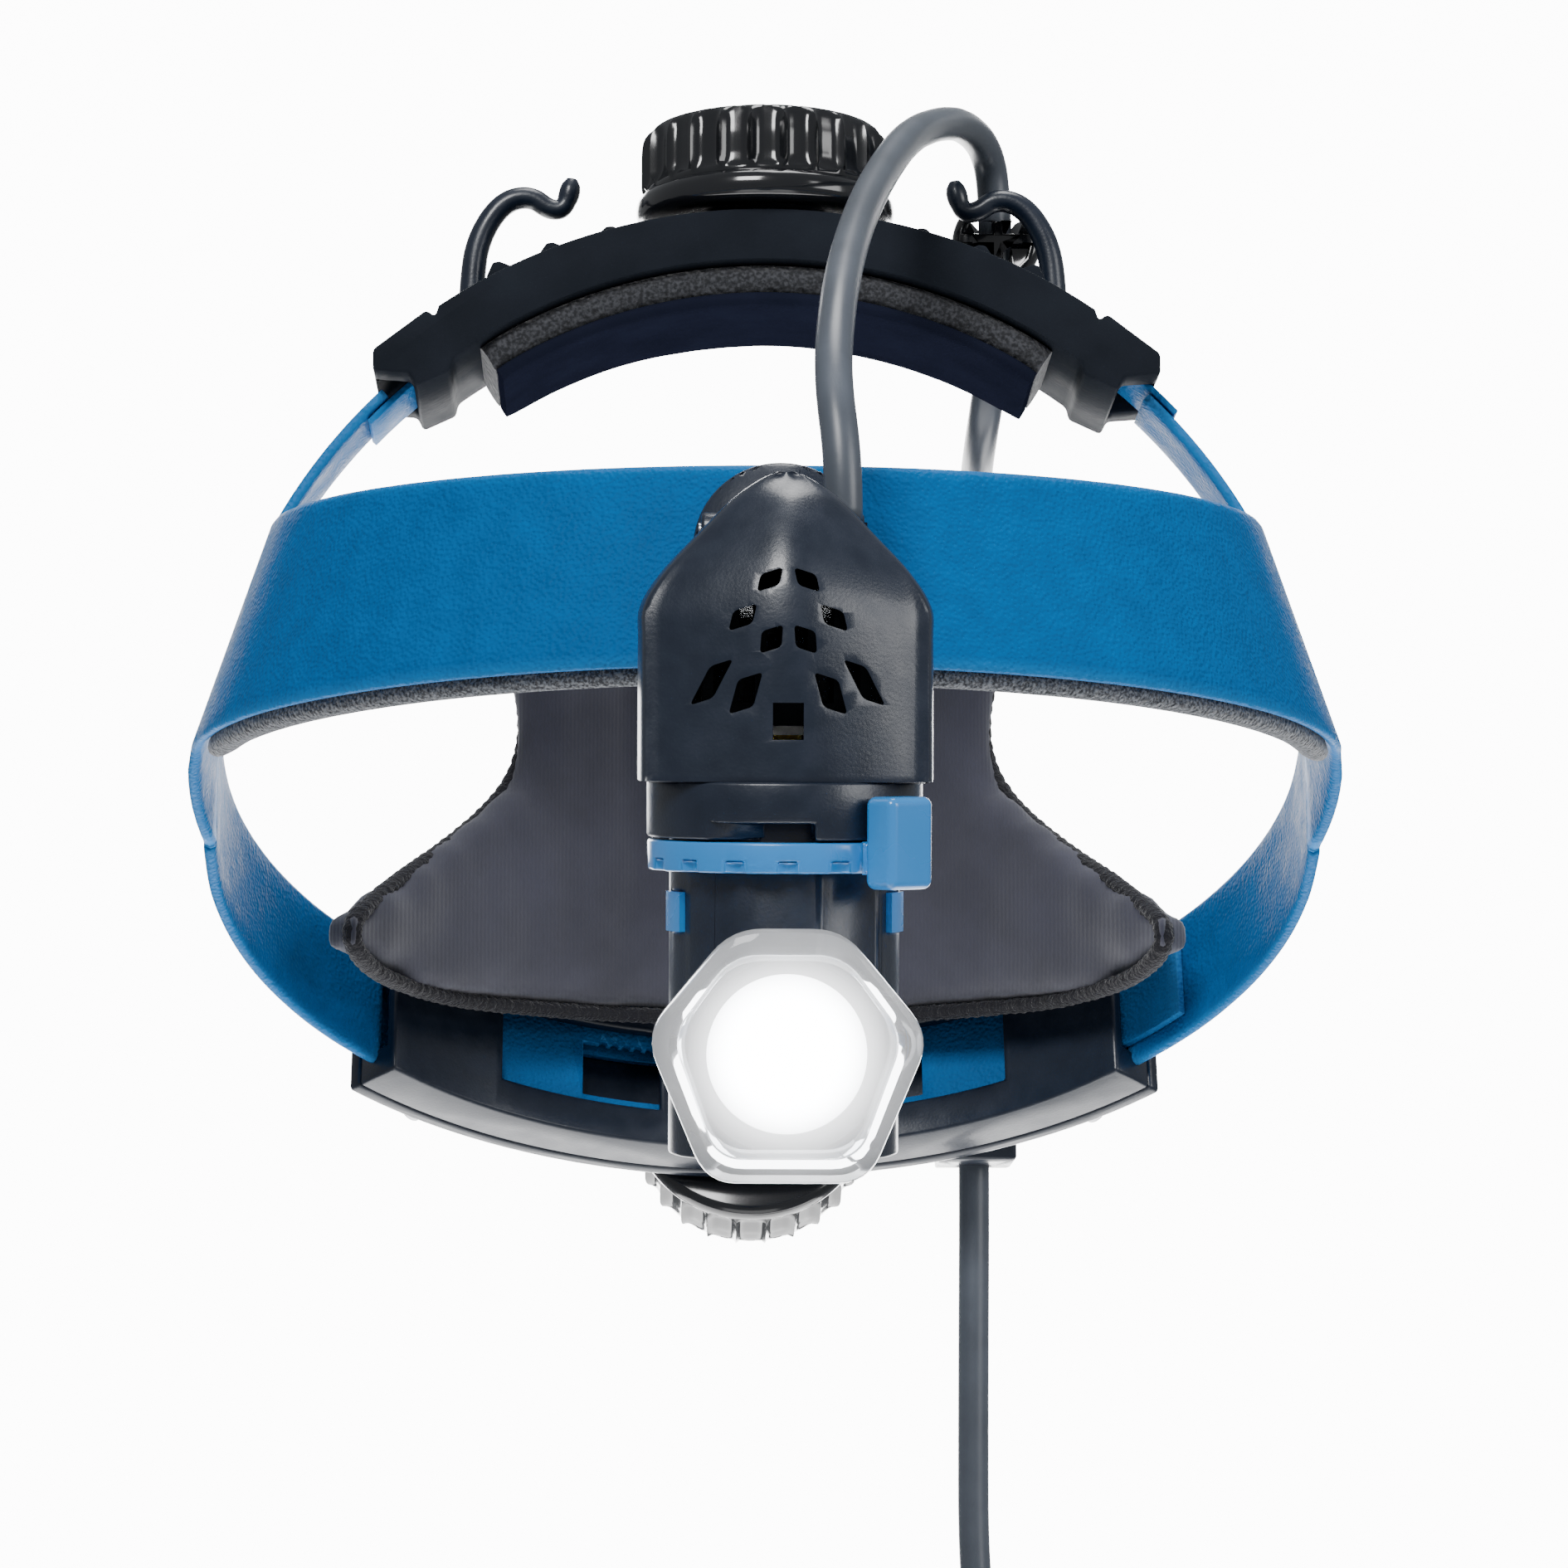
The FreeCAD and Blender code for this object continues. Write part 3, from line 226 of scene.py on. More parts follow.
def speckled(name, dark, light, scale):
    """Felt or foam: fine light fibres on a dark ground."""
    material, tree, shader = nodes_of(name)
    fibres = grain(tree, scale, detail=8.0)
    tree.links.new(ramp(tree, fibres, dark, light, 0.42, 0.62), shader.inputs["Base Color"])
    tree.links.new(spread(tree, fibres, FIBRE_ROUGHNESS * 0.9, FIBRE_ROUGHNESS), shader.inputs["Roughness"])
    shader.inputs["Sheen Weight"].default_value = 0.3
    bump(tree, shader, grain(tree, scale * 0.6, kind="cells"), FIBRE_STRENGTH, 0.0006)
    return material


# a wave texture draws this many bands over one unit at scale 1
RIB_WAVES = 3.2


def ribbed(name, color, pitch):
    """Neoprene faced with a fine upright rib knit."""
    material, tree, shader = nodes_of(name)
    coordinates = tree.nodes.new("ShaderNodeTexCoord")
    wave = tree.nodes.new("ShaderNodeTexWave")
    wave.bands_direction = "X"
    wave.inputs["Scale"].default_value = 1.0 / pitch / RIB_WAVES
    wave.inputs["Distortion"].default_value = 1.2
    wave.inputs["Detail"].default_value = 2.0
    wave.inputs["Detail Scale"].default_value = 3.0
    tree.links.new(coordinates.outputs["Object"], wave.inputs["Vector"])
    slow = grain(tree, 60.0)
    tone = ramp(tree, slow, shade(color, 0.8), shade(color, 1.25))
    tree.links.new(tone, shader.inputs["Base Color"])
    shader.inputs["Roughness"].default_value = 0.9
    shader.inputs["Sheen Weight"].default_value = 0.45
    shader.inputs["Sheen Roughness"].default_value = 0.5
    bump(tree, shader, wave.outputs["Fac"], 0.15, 0.0002)
    return material


def glass(name, tint, roughness):
    material, tree, shader = nodes_of(name)
    smears = grain(tree, 90.0)
    tree.links.new(spread(tree, smears, roughness, roughness * 2 + 0.01), shader.inputs["Roughness"])
    shader.inputs["Base Color"].default_value = (*tint, 1.0)
    shader.inputs["Transmission Weight"].default_value = 1.0
    shader.inputs["IOR"].default_value = 1.49
    return material


def glowing(name, center, reach, core, strength, clear=0.85):
    """Lit glass: brightest in the middle of the beam and clear towards the edge."""
    material, tree, shader = nodes_of(name)
    coordinates = tree.nodes.new("ShaderNodeTexCoord")
    distance = tree.nodes.new("ShaderNodeVectorMath")
    distance.operation = "DISTANCE"
    distance.inputs[1].default_value = center
    tree.links.new(coordinates.outputs["Object"], distance.inputs[0])
    fall = tree.nodes.new("ShaderNodeMapRange")
    fall.interpolation_type = "SMOOTHERSTEP"
    fall.inputs["From Min"].default_value = core
    fall.inputs["From Max"].default_value = reach
    fall.inputs["To Min"].default_value = strength
    fall.inputs["To Max"].default_value = 0.0
    tree.links.new(distance.outputs["Value"], fall.inputs["Value"])
    shader.inputs["Base Color"].default_value = (0.93, 0.95, 0.98, 1.0)
    shader.inputs["Roughness"].default_value = 0.06
    shader.inputs["Transmission Weight"].default_value = clear
    shader.inputs["IOR"].default_value = 1.3
    shader.inputs["Emission Color"].default_value = (1.0, 1.0, 1.0, 1.0)
    tree.links.new(fall.outputs["Result"], shader.inputs["Emission Strength"])
    return material


BLUE = (0.001, 0.105, 0.315)
# lighter blue painted along the band's sharp edges as a painted highlight
BLUE_EDGE_HIGHLIGHT = (0.05, 0.25, 0.60)
BLUE_GLOSS = (0.030, 0.25, 0.66)
BLACK = (0.006, 0.012, 0.026)
BLACK_MATT = (0.015, 0.018, 0.024)
LEAD_GREY = (0.075, 0.088, 0.110)
LENS_CENTER = tuple((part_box("projection_lens")[0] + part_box("projection_lens")[1]) / 2)
MATERIALS = {
    "blue_band": painted("blue_band", BLUE, 0.55, 1700.0, 0.8, 0.10, "cells", 0.0003, specular=0.05,
                         edge=BLUE_EDGE_HIGHLIGHT),
    "blue_gloss": painted("blue_gloss", BLUE_GLOSS, 0.28, 500.0, 0.04, 0.06, coat=0.4),
    "black_matt": painted("black_matt", BLACK_MATT, 0.6, 900.0, 0.3, 0.15, specular=0.008),
    "black_satin": painted("black_satin", BLACK, 0.36, 2200.0, 0.16, 0.12, coat=0.12, specular=0.6),
    "black_gloss": painted("black_gloss", (0.008, 0.009, 0.011), 0.16, 300.0, 0.03, 0.1, coat=0.5),
    "grey_felt": speckled("grey_felt", (0.03, 0.033, 0.04), (0.20, 0.215, 0.24), 2600.0),
    "black_foam": speckled("black_foam", (0.006, 0.007, 0.010), (0.05, 0.052, 0.06), 1800.0),
    "pad_skin": painted("pad_skin", (0.010, 0.012, 0.024), 0.9, 900.0, 0.25, 0.15, specular=0.0),
    "neoprene": ribbed("neoprene", (0.046, 0.047, 0.068), 0.00062),
    "binding": painted("binding", (0.008, 0.008, 0.012), 0.95, 1800.0, 0.9, 0.3, distance=0.0006, sheen=0.3),
    "lead_rubber": painted("lead_rubber", LEAD_GREY, 0.38, 700.0, 0.08, 0.18, specular=0.6),
    "tie_rubber": painted("tie_rubber", BLACK, 0.6, 900.0, 0.1),
    "steel": metal("steel", (0.50, 0.51, 0.53), 0.32, 900.0),
    "pinion_plastic": painted("pinion_plastic", (0.62, 0.62, 0.58), 0.45, 500.0, 0.05),
    "sink_metal": metal("sink_metal", (0.02, 0.022, 0.026), 0.5, 700.0),
    "board": painted("board", (0.80, 0.80, 0.77), 0.5, 700.0, 0.05),
    "emitter": painted("emitter", (0.85, 0.72, 0.18), 0.35, 900.0, 0.05),
    "lens_glass": glass("lens_glass", (0.97, 0.98, 1.0), 0.02),
    "lit_lens": glowing("lit_lens", LENS_CENTER, 0.0135, 0.0060, 9.0),
    "lit_window": glowing("lit_window", LENS_CENTER, 0.0190, 0.0085, 2.2),
    "mirror_face": metal("mirror_face", (0.90, 0.90, 0.92), 0.04, 300.0),
    "lit_bezel": glowing("lit_bezel", LENS_CENTER, 0.0230, 0.0130, 0.30, 0.93),
    "bezel_clear": glass("bezel_clear", (0.86, 0.88, 0.91), 0.12),
    "plug_metal": metal("plug_metal", (0.72, 0.60, 0.36), 0.25, 600.0),
}


def dress_nodes():
    for part in frame["record"]["subparts"]:
        node = NODES[part["node"]]
        node.data.materials.clear()
        node.data.materials.append(MATERIALS[part["material_slot"]])
    NODES["projection_lens"].data.materials[0] = MATERIALS["lit_lens"]
    NODES["window_glass"].data.materials[0] = MATERIALS["lit_window"]


# ---- mesh helpers
def piece(name, mesh_data, material, body=None, replaces=(), smooth=True):
    """A new visible piece, in place, on its body."""
    item = bpy.data.objects.new(name, mesh_data)
    bpy.context.scene.collection.objects.link(item)
    mesh_data.materials.append(MATERIALS[material])
    if smooth:
        mesh_data.polygons.foreach_set("use_smooth", [True] * len(mesh_data.polygons))
    if body:
        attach(item, body)
    if replaces:
        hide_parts(*replaces)
    return item


def skin(name, loops, close_ends=True, ring=True):
    """A mesh through loops that all have the same number of points."""
    mesh = bmesh.new()
    rows = [[mesh.verts.new(point) for point in loop] for loop in loops]
    count = len(rows[0])
    for before, after in zip(rows, rows[1:]):
        for index in range(count if ring else count - 1):
            following = (index + 1) % count
            mesh.faces.new((before[index], before[following], after[following], after[index]))
    if close_ends:
        mesh.faces.new(rows[0][::-1])
        mesh.faces.new(rows[-1])
    bmesh.ops.recalc_face_normals(mesh, faces=mesh.faces)
    data = bpy.data.meshes.new(name)
    mesh.to_mesh(data)
    mesh.free()
    return data


def spline_at(before, here, after, beyond, t):
    """A point between here and after on the smooth curve through all four."""
    return 0.5 * (2 * here + (after - before) * t + (2 * before - 5 * here + 4 * after - beyond) * t * t
                  + (3 * here - before - 3 * after + beyond) * t ** 3)


def catmull(rows, steps):
    """Smooth rows of points between rows, through every row given."""
    result = []
    for index in range(len(rows) - 1):
        before = rows[max(index - 1, 0)]
        here = rows[index]
        after = rows[index + 1]
        beyond = rows[min(index + 2, len(rows) - 1)]
        for step in range(steps):
            t = step / steps
            result.append([spline_at(*(Vector(point) for point in points), t)
                           for points in zip(before, here, after, beyond)])
    result.append([Vector(point) for point in rows[-1]])
    return result


def smooth_by_angle(data, degrees=35.0):
    data.polygons.foreach_set("use_smooth", [True] * len(data.polygons))
    data.set_sharp_from_angle(angle=math.radians(degrees))


def applied(item):
    """The item's mesh with its modifiers applied; the modifiers are removed."""
    graph = bpy.context.evaluated_depsgraph_get()
    graph.update()
    data = bpy.data.meshes.new_from_object(item.evaluated_get(graph))
    item.modifiers.clear()
    item.data = data


def wall_loop(low, high, thickness, rounding=4, rows=8):
    """Height and inset of each point round a thin wall's section, with rounded edges."""
    radius = thickness / 2
    points = []
    for row in range(rows + 1):
        points.append((low + radius + (high - low - thickness) * row / rows, 0.0))
    for turn in range(1, rounding):
        angle = math.pi * turn / rounding
        points.append((high - radius + radius * math.sin(angle), radius - radius * math.cos(angle)))
    for row in range(rows, -1, -1):
        points.append((low + radius + (high - low - thickness) * row / rows, thickness))
    for turn in range(1, rounding):
        angle = math.pi * turn / rounding
        points.append((low + radius - radius * math.sin(angle), radius + radius * math.cos(angle)))
    return points


# ---- cords
def route(points, name):
    """The smooth line through a route's control points, as a list of points."""
    curve = bpy.data.curves.new(name, "CURVE")
    curve.dimensions = "3D"
    curve.resolution_u = 8
    spline = curve.splines.new("NURBS")
    spline.points.add(len(points) - 1)
    for target, point in zip(spline.points, points):
        target.co = (point[0] * MM, point[1] * MM, point[2] * MM, 1.0)
    spline.order_u = 3
    spline.use_endpoint_u = True
    item = bpy.data.objects.new(name, curve)
    bpy.context.scene.collection.objects.link(item)
    graph = bpy.context.evaluated_depsgraph_get()
    line = bpy.data.meshes.new_from_object(item.evaluated_get(graph))
    result = [vertex.co.copy() for vertex in line.vertices]
    bpy.data.objects.remove(item)
    return result


def tube_mesh(name, line, radius, sides=20):
    loops = []
    normal = None
    for index, point in enumerate(line):
        ahead = line[min(index + 1, len(line) - 1)] - line[max(index - 1, 0)]
        ahead.normalize()
        if normal is None:
            normal = ahead.orthogonal().normalized()
        normal = (normal - ahead * normal.dot(ahead)).normalized()
        other = ahead.cross(normal)
        loop = []
        for side in range(sides):
            angle = 2 * math.pi * side / sides
            loop.append(point + (normal * math.cos(angle) + other * math.sin(angle)) * radius)
        loops.append(loop)
    return skin(name, loops)


TIP = math.radians(10.0)
HINGE = Vector((0.0, -104.0, -2.0))


def lamp_point(x, y, z):
    """A point of the upright lamp, in millimetres, tipped as it hangs at rest."""
    return HINGE + Vector((x, y * math.cos(TIP) - z * math.sin(TIP), y * math.sin(TIP) + z * math.cos(TIP)))


LEAD_RADIUS = 2.6
GLAND_TOP = 1.0
LEAD_FRONT = (tuple(lamp_point(8.0, -6.0, GLAND_TOP)), tuple(lamp_point(8.0, -6.0, GLAND_TOP + 8.0)),
              (6.6, -107.0, 18.5), (7.6, -95.5, 30.5), (9.6, -79.5, 42.0), (12.4, -62.0, 53.0),
              (16.2, -43.0, 64.0), (21.0, -24.0, 74.5), (26.5, -5.5, 81.5), (31.2, 8.0, 85.0),
              (35.4, 18.0, 84.0), (37.0, 22.0, 77.0), (37.0, 22.0, 62.0))
LEAD_REAR = ((37.0, 22.0, 62.0), (37.0, 22.0, 53.5), (35.8, 28.5, 44.5), (35.4, 41.0, 40.0),
             (35.8, 57.5, 38.5), (36.6, 75.5, 35.0), (37.4, 92.0, 25.0), (38.0, 102.0, 9.0),
             (38.3, 106.8, -10.0), (38.2, 108.4, -28.0), (38.0, 109.0, -44.0), (38.0, 109.0, -58.0))
TAIL = ((38.0, 109.0, -58.0), (38.0, 109.0, -77.0), (37.7, 109.0, -105.0), (37.5, 108.9, -142.0),
        (41.5, 106.5, -161.0), (53.0, 105.5, -175.0))
TAIL_ENDING = ((66.3, 109.0, -215.0), (66.0, 109.0, -225.0), (66.0, 109.0, -237.0))
COIL_CENTRE = (37.0, 109.0, -206.0)
COIL_RADIUS = 29.0
COIL_TURNS = 5
TURN_POINTS = 16
TURN_SPREAD = 4.3


def coil_points():
    """Turns that lie beside and on each other, each shifted a fifth of the way round the bundle."""
    points = []
    total = COIL_TURNS * TURN_POINTS
    for index in range(1, total + 1):
        round_coil = -2 * math.pi * index / TURN_POINTS
        round_bundle = math.pi * 1.25 + 2 * math.pi * index / total
        radius = COIL_RADIUS + TURN_SPREAD * math.cos(round_bundle)
        points.append((COIL_CENTRE[0] + radius * math.cos(round_coil),
                       COIL_CENTRE[1] + TURN_SPREAD * math.sin(round_bundle),
                       COIL_CENTRE[2] + radius * math.sin(round_coil)))
    return points


def make_leads():
    """Two taut stretches, and the hanging tail with its tied coil."""
    for node, points, near, far, start, end in (
            ("lead_front", LEAD_FRONT, "lamp", "headband", None, (0.0096, -0.0795, 0.042)),
            ("lead_rear", LEAD_REAR, "headband", "rear_unit", (0.0366, 0.0755, 0.035),
             (0.038, 0.1086, -0.045))):
        line = route(points, node + "_route")
        item = piece(node + "_skin", tube_mesh(node + "_skin", line, LEAD_RADIUS * MM), "lead_rubber")
        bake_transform(item)
        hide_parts(node)
    tail = route(TAIL + tuple(coil_points()[:-1]) + TAIL_ENDING, "lead_tail_route")
    item = piece("lead_tail_skin", tube_mesh("lead_tail_skin", tail, LEAD_RADIUS * MM), "lead_rubber",
                 "rear_unit", ("lead_tail", "lead_coil", "lead_end"))


# ---- headband
BAND_TOP = 18.0
BAND_BOTTOM = 19.3
EAR_END = 11.0
EAR_STEPS = 6
BAND_CENTRE = -11.0
STRAP_OUTER = 86.0
STRAP_HALF = 11.0
BAND_THICK = 2.0
MOUTH = 47.0
REAR_Y = 20.0
ARCH_Y = 1.5
ARCH_CENTRE = -22.5
RING = Matrix.Translation((0.0, REAR_Y, -22.0)) @ Matrix.Rotation(math.radians(-25.0), 4, "X")
RING = RING @ Matrix.Rotation(math.radians(90.0), 4, "Z")
CROWN = Matrix(((0.0, 1.0, 0.0, 0.0), (0.0, 0.0, 1.0, ARCH_Y), (1.0, 0.0, 0.0, ARCH_CENTRE),
                (0.0, 0.0, 0.0, 1.0)))
LAMP = Matrix.Translation(HINGE) @ Matrix.Rotation(TIP, 4, "X")


def wall_radius(turn, height):
    """Outer radius of the leaning band wall, a little smaller at the temples than in front."""
    side = math.sin(turn) ** 2
    return 81.0 - 1.2 * side - (0.31 + 0.03 * side) * height


def high_edge(y):
    return BAND_TOP + 0.07 * (y - EAR_END)


def low_edge(y):
    return -BAND_BOTTOM - max(0.0, 0.36 * (y + 17.0))


def band_point(turn, height, inset):
    radius = wall_radius(turn, height) - inset
    return Vector((radius * math.sin(turn), BAND_CENTRE - radius * math.cos(turn), height)) * MM


def side_point(side, y, height, inset):
    lean = wall_radius(math.pi / 2, height)
    way_back = min(1.0, (y - BAND_CENTRE) / (EAR_END - BAND_CENTRE))
    drop = min(1.0, max(0.0, (BAND_TOP - height) / (BAND_TOP + BAND_BOTTOM)))
    x = lean + (STRAP_OUTER - 0.2 - lean) * way_back * drop
    return Vector((side * (x - inset), y, height)) * MM


def polar_point(place, angle, radius, rise):
    turn = math.radians(angle)
    return (place @ Vector((radius * math.cos(turn), radius * math.sin(turn), rise))) * MM


def ring_point(angle, radius, rise):
    return polar_point(RING, angle, radius, rise)


def crown_point(angle, radius, rise):
    return polar_point(CROWN, angle, radius, rise)


def ear_loops(side, steps):
    """Sections of the straight part over one ear, at the given steps forward from its end."""
    loops = []
    for step in steps:
        y = EAR_END + (BAND_CENTRE - EAR_END) * step / EAR_STEPS
        section = wall_loop(low_edge(y), high_edge(y), BAND_THICK, rows=14)
        loops.append([side_point(side, y, height, inset) for height, inset in section])
    return loops


def make_front_band():
    loops = ear_loops(-1, range(EAR_STEPS))
    turns = 72
    for step in range(turns + 1):
        turn = math.radians(-90.0 + 180.0 * step / turns)
        y = band_point(turn, -BAND_BOTTOM, 0.0).y / MM
        section = wall_loop(low_edge(y), high_edge(y), BAND_THICK, rows=14)
        loops.append([band_point(turn, height, inset) for height, inset in section])
    loops += ear_loops(1, range(EAR_STEPS - 1, -1, -1))
    piece("band_shell", skin("band_shell", loops), "blue_band", "headband", ("front_band",))


def make_rear_straps():
    section = wall_loop(-STRAP_HALF, STRAP_HALF, BAND_THICK, rows=6)
    low = low_edge(EAR_END)
    for side, label in ((-1, "left"), (1, "right")):
        rows = []
        for y in (EAR_END - 0.6, EAR_END + 0.05):
            rows.append([side_point(side, y, low + STRAP_HALF + rise, inset) for rise, inset in section])
        for angle in (92, 84, 76, 68, 60, 53, MOUTH - 0.5):
            rows.append([ring_point(-side * angle, STRAP_OUTER - inset, rise) for rise, inset in section])
        name = "rear_strap_skin_" + label
        item = piece(name, skin(name, catmull(rows, 6)), "blue_band")
        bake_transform(item)
        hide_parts("rear_strap_" + label)


OVERHEAD_HALF = 8.5
OVERHEAD_THICK = 1.6
OVERHEAD_OUTER = 84.9


def make_overhead_straps():
    section = wall_loop(-OVERHEAD_HALF, OVERHEAD_HALF, OVERHEAD_THICK, rows=6)
    for side, label in ((-1, "left"), (1, "right")):
        rows = []
        for step in range(15):
            angle = 43.7 + 18.7 * step / 14
            rows.append([crown_point(side * angle, OVERHEAD_OUTER - inset, rise) for rise, inset in section])
        name = "overhead_strap_skin_" + label
        item = piece(name, skin(name, rows), "blue_band")
        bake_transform(item)
        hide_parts("overhead_strap_" + label)


FELT_THICK = 4.9
FELT_WAVE = 0.00016


def make_brow_pad():
    """The felt strip inside the band, rounded at its edges and blunt at both ends."""
    loops = []
    steps = 96
    reach = 78.0
    for step in range(steps + 1):
        turn = math.radians(-reach + 2 * reach * step / steps)
        y = band_point(turn, -BAND_BOTTOM, 0.0).y / MM
        low = low_edge(y) - 2.0
        high = high_edge(y) - 2.5
        end_in = min(step, steps - step)
        taper = 1.0 if end_in > 1 else (0.86, 0.97)[end_in]
        section = wall_loop(low, high, FELT_THICK * taper, rounding=8, rows=14)
        loop = []
        for height, inset in section:
            point = band_point(turn, height, BAND_THICK + 0.1 + inset)
            wave = noise.noise(point * 420.0) * FELT_WAVE
            loop.append(point * (1.0 + wave))
        loops.append(loop)
    item = piece("brow_pad_felt", skin("brow_pad_felt", loops), "grey_felt", "headband", ("brow_pad",))


# ---- hood
HOOD_ROWS = (
    # height, half width, front of the ridge, front of the shoulders, back
    (6.2, 3.7, -21.0, -19.5, -15.0), (3.6, 7.2, -25.0, -21.0, -12.5), (-1.0, 11.6, -29.0, -22.5, -9.5),
    (-6.0, 16.2, -31.8, -24.0, -5.0), (-10.5, 18.9, -33.2, -25.0, -1.2), (-15.0, 19.1, -33.8, -25.8, 0.0),
    (-25.0, 19.1, -34.2, -27.0, 0.2), (-33.2, 19.1, -34.4, -28.0, 0.4),
)
VENTS = (
    # across, height, width, rise, slant
    (2.4, -7.0, 2.9, 2.3, -0.5), (5.9, -11.9, 3.1, 2.6, -0.6), (2.2, -14.7, 2.8, 2.9, -0.2),
    (9.9, -20.3, 3.0, 5.1, -2.6), (5.5, -21.7, 3.2, 4.5, -1.2),
)


VENT_ROUND = 0.55
VENT_LEAN = 0.32
VENT_FRONT = -40.0
VENT_BACK = -16.0
SLOT_WIDTH = 4.0
SLOT_HEIGHT = 4.8
SLOT_MIDDLE = -25.3
HOOD_WALL = 1.7


def hood_section(height, half, ridge, shoulder, back):
    """The hood seen from above at one height, as a smooth closed outline."""
    bow = (shoulder + ridge) / 2 - half * 0.02
    corners = [(half, shoulder + 1.5), (half * 0.86, shoulder - 1.2), (half * 0.46, bow - 0.9), (0.0, ridge),
               (-half * 0.46, bow - 0.9), (-half * 0.86, shoulder - 1.2), (-half, shoulder + 1.5),
               (-half, back - half * 0.24), (-half * 0.84, back - half * 0.03), (-half * 0.4, back),
               (half * 0.4, back), (half * 0.84, back - half * 0.03), (half, back - half * 0.24)]
    outline = []
    steps = 5
    count = len(corners)
    for index in range(count):
        points = [Vector(corners[(index + shift) % count]) for shift in (-1, 0, 1, 2)]
        for step in range(steps):
            spot = spline_at(*points, step / steps)
            outline.append((LAMP @ Vector((spot.x, spot.y, height))) * MM)
    return outline


def vent_tool():
    """Rounded slanted prisms and one square slot, to cut through the front of the hood."""
    mesh = bmesh.new()
    for side in (-1, 1):
        for across, height, width, rise, slant in VENTS:
            outline = []
            for corner_x, corner_z in ((-1, -1), (1, -1), (1, 1), (-1, 1)):
                for turn in range(4):
                    angle = math.atan2(corner_z, corner_x) + math.radians(-45 + 30 * turn)
                    x = corner_x * (width / 2 - VENT_ROUND) + VENT_ROUND * math.cos(angle)
                    z = corner_z * (rise / 2 - VENT_ROUND) + VENT_ROUND * math.sin(angle)
                    outline.append((side * (across + x + slant * z / rise), height + z - x * VENT_LEAN))
            rows = []
            for y in (VENT_FRONT, VENT_BACK):
                rows.append([mesh.verts.new((LAMP @ Vector((x, y, z))) * MM) for x, z in outline])
            count = len(outline)
            for index in range(count):
                following = (index + 1) % count
                mesh.faces.new((rows[0][index], rows[0][following], rows[1][following], rows[1][index]))
            mesh.faces.new(rows[0][::-1])
            mesh.faces.new(rows[1])
    slot = bmesh.ops.create_cube(mesh, size=1.0)["verts"]
    for vertex in slot:
        x, y, z = vertex.co
        vertex.co = (LAMP @ Vector((x * SLOT_WIDTH, -35.0 + y * 8.0, SLOT_MIDDLE + z * SLOT_HEIGHT))) * MM
    bmesh.ops.recalc_face_normals(mesh, faces=mesh.faces)
    data = bpy.data.meshes.new("vent_tool")
    mesh.to_mesh(data)
    mesh.free()
    tool = bpy.data.objects.new("vent_tool", data)
    bpy.context.scene.collection.objects.link(tool)
    return tool


def make_hood():
    sections = [hood_section(*row) for row in HOOD_ROWS]
    top = HOOD_ROWS[0]
    peak = [hood_section(top[0] + 1.1, top[1] * 0.35, top[2] + 1.6, top[3] + 0.4, top[4] - 2.2)]
    loops = catmull(peak + sections, 6)
    data = skin("hood_shell", loops, close_ends=False)
    mesh = bmesh.new()
    mesh.from_mesh(data)
    mesh.verts.ensure_lookup_table()
    mesh.faces.new([mesh.verts[index] for index in range(len(loops[0]))])
    bmesh.ops.recalc_face_normals(mesh, faces=mesh.faces)
    middle = (LAMP @ Vector((0.0, -16.0, -20.0))) * MM
    outward = sum(face.normal.dot(face.calc_center_median() - middle) for face in mesh.faces)
    if outward < 0:
        bmesh.ops.reverse_faces(mesh, faces=mesh.faces)
    mesh.to_mesh(data)
    mesh.free()
    item = piece("hood_shell", data, "black_satin", "lamp", ("lamp_hood",))
    wall = item.modifiers.new("wall", "SOLIDIFY")
    wall.thickness = HOOD_WALL * MM
    wall.offset = -1.0
    applied(item)
    tool = vent_tool()
    vents = item.modifiers.new("vents", "BOOLEAN")
    vents.object = tool
    vents.operation = "DIFFERENCE"
    vents.solver = "MANIFOLD"
    edge = item.modifiers.new("edge", "BEVEL")
    edge.width = 0.22 * MM
    edge.segments = 2
    edge.angle_limit = math.radians(50.0)
    applied(item)
    bpy.data.objects.remove(tool)
    smooth_by_angle(item.data, 40.0)


# ---- turned and cut pieces
def lathe(name, rows, place, columns=240, dent=None):
    """A turned shape: each row gives a height and a radius; dent draws flutes into it."""
    loops = []
    for height, radius in rows:
        loop = []
        for column in range(columns):
            angle = 2 * math.pi * column / columns
            depth = dent(angle, height) if dent else 0.0
            reach = max(0.05, radius - depth)
            loop.append((place @ Vector((reach * math.cos(angle), reach * math.sin(angle), height))) * MM)
        loops.append(loop)
    return skin(name, loops)


def prism(name, outline, depth_from, depth_to, place):
    """A flat outline in local X and Z, pushed along local Y."""
    loops = []
    for depth in (depth_from, depth_to):
        loops.append([(place @ Vector((x, depth, z))) * MM for x, z in outline])
    return skin(name, loops)


def cut_away(item, data):
    """Take a closed mesh out of an item."""
    tool = bpy.data.objects.new("tool", data)
    bpy.context.scene.collection.objects.link(tool)
    cut = item.modifiers.new("cut", "BOOLEAN")
    cut.object = tool
    cut.operation = "DIFFERENCE"
    cut.solver = "MANIFOLD"
    applied(item)
    bpy.data.objects.remove(tool)


def rounded(item, width, segments=2, angle=38.0):
    edge = item.modifiers.new("edge", "BEVEL")
    edge.width = width * MM
    edge.segments = segments
    edge.angle_limit = math.radians(angle)
    edge.use_clamp_overlap = False
    applied(item)
    smooth_by_angle(item.data, 40.0)


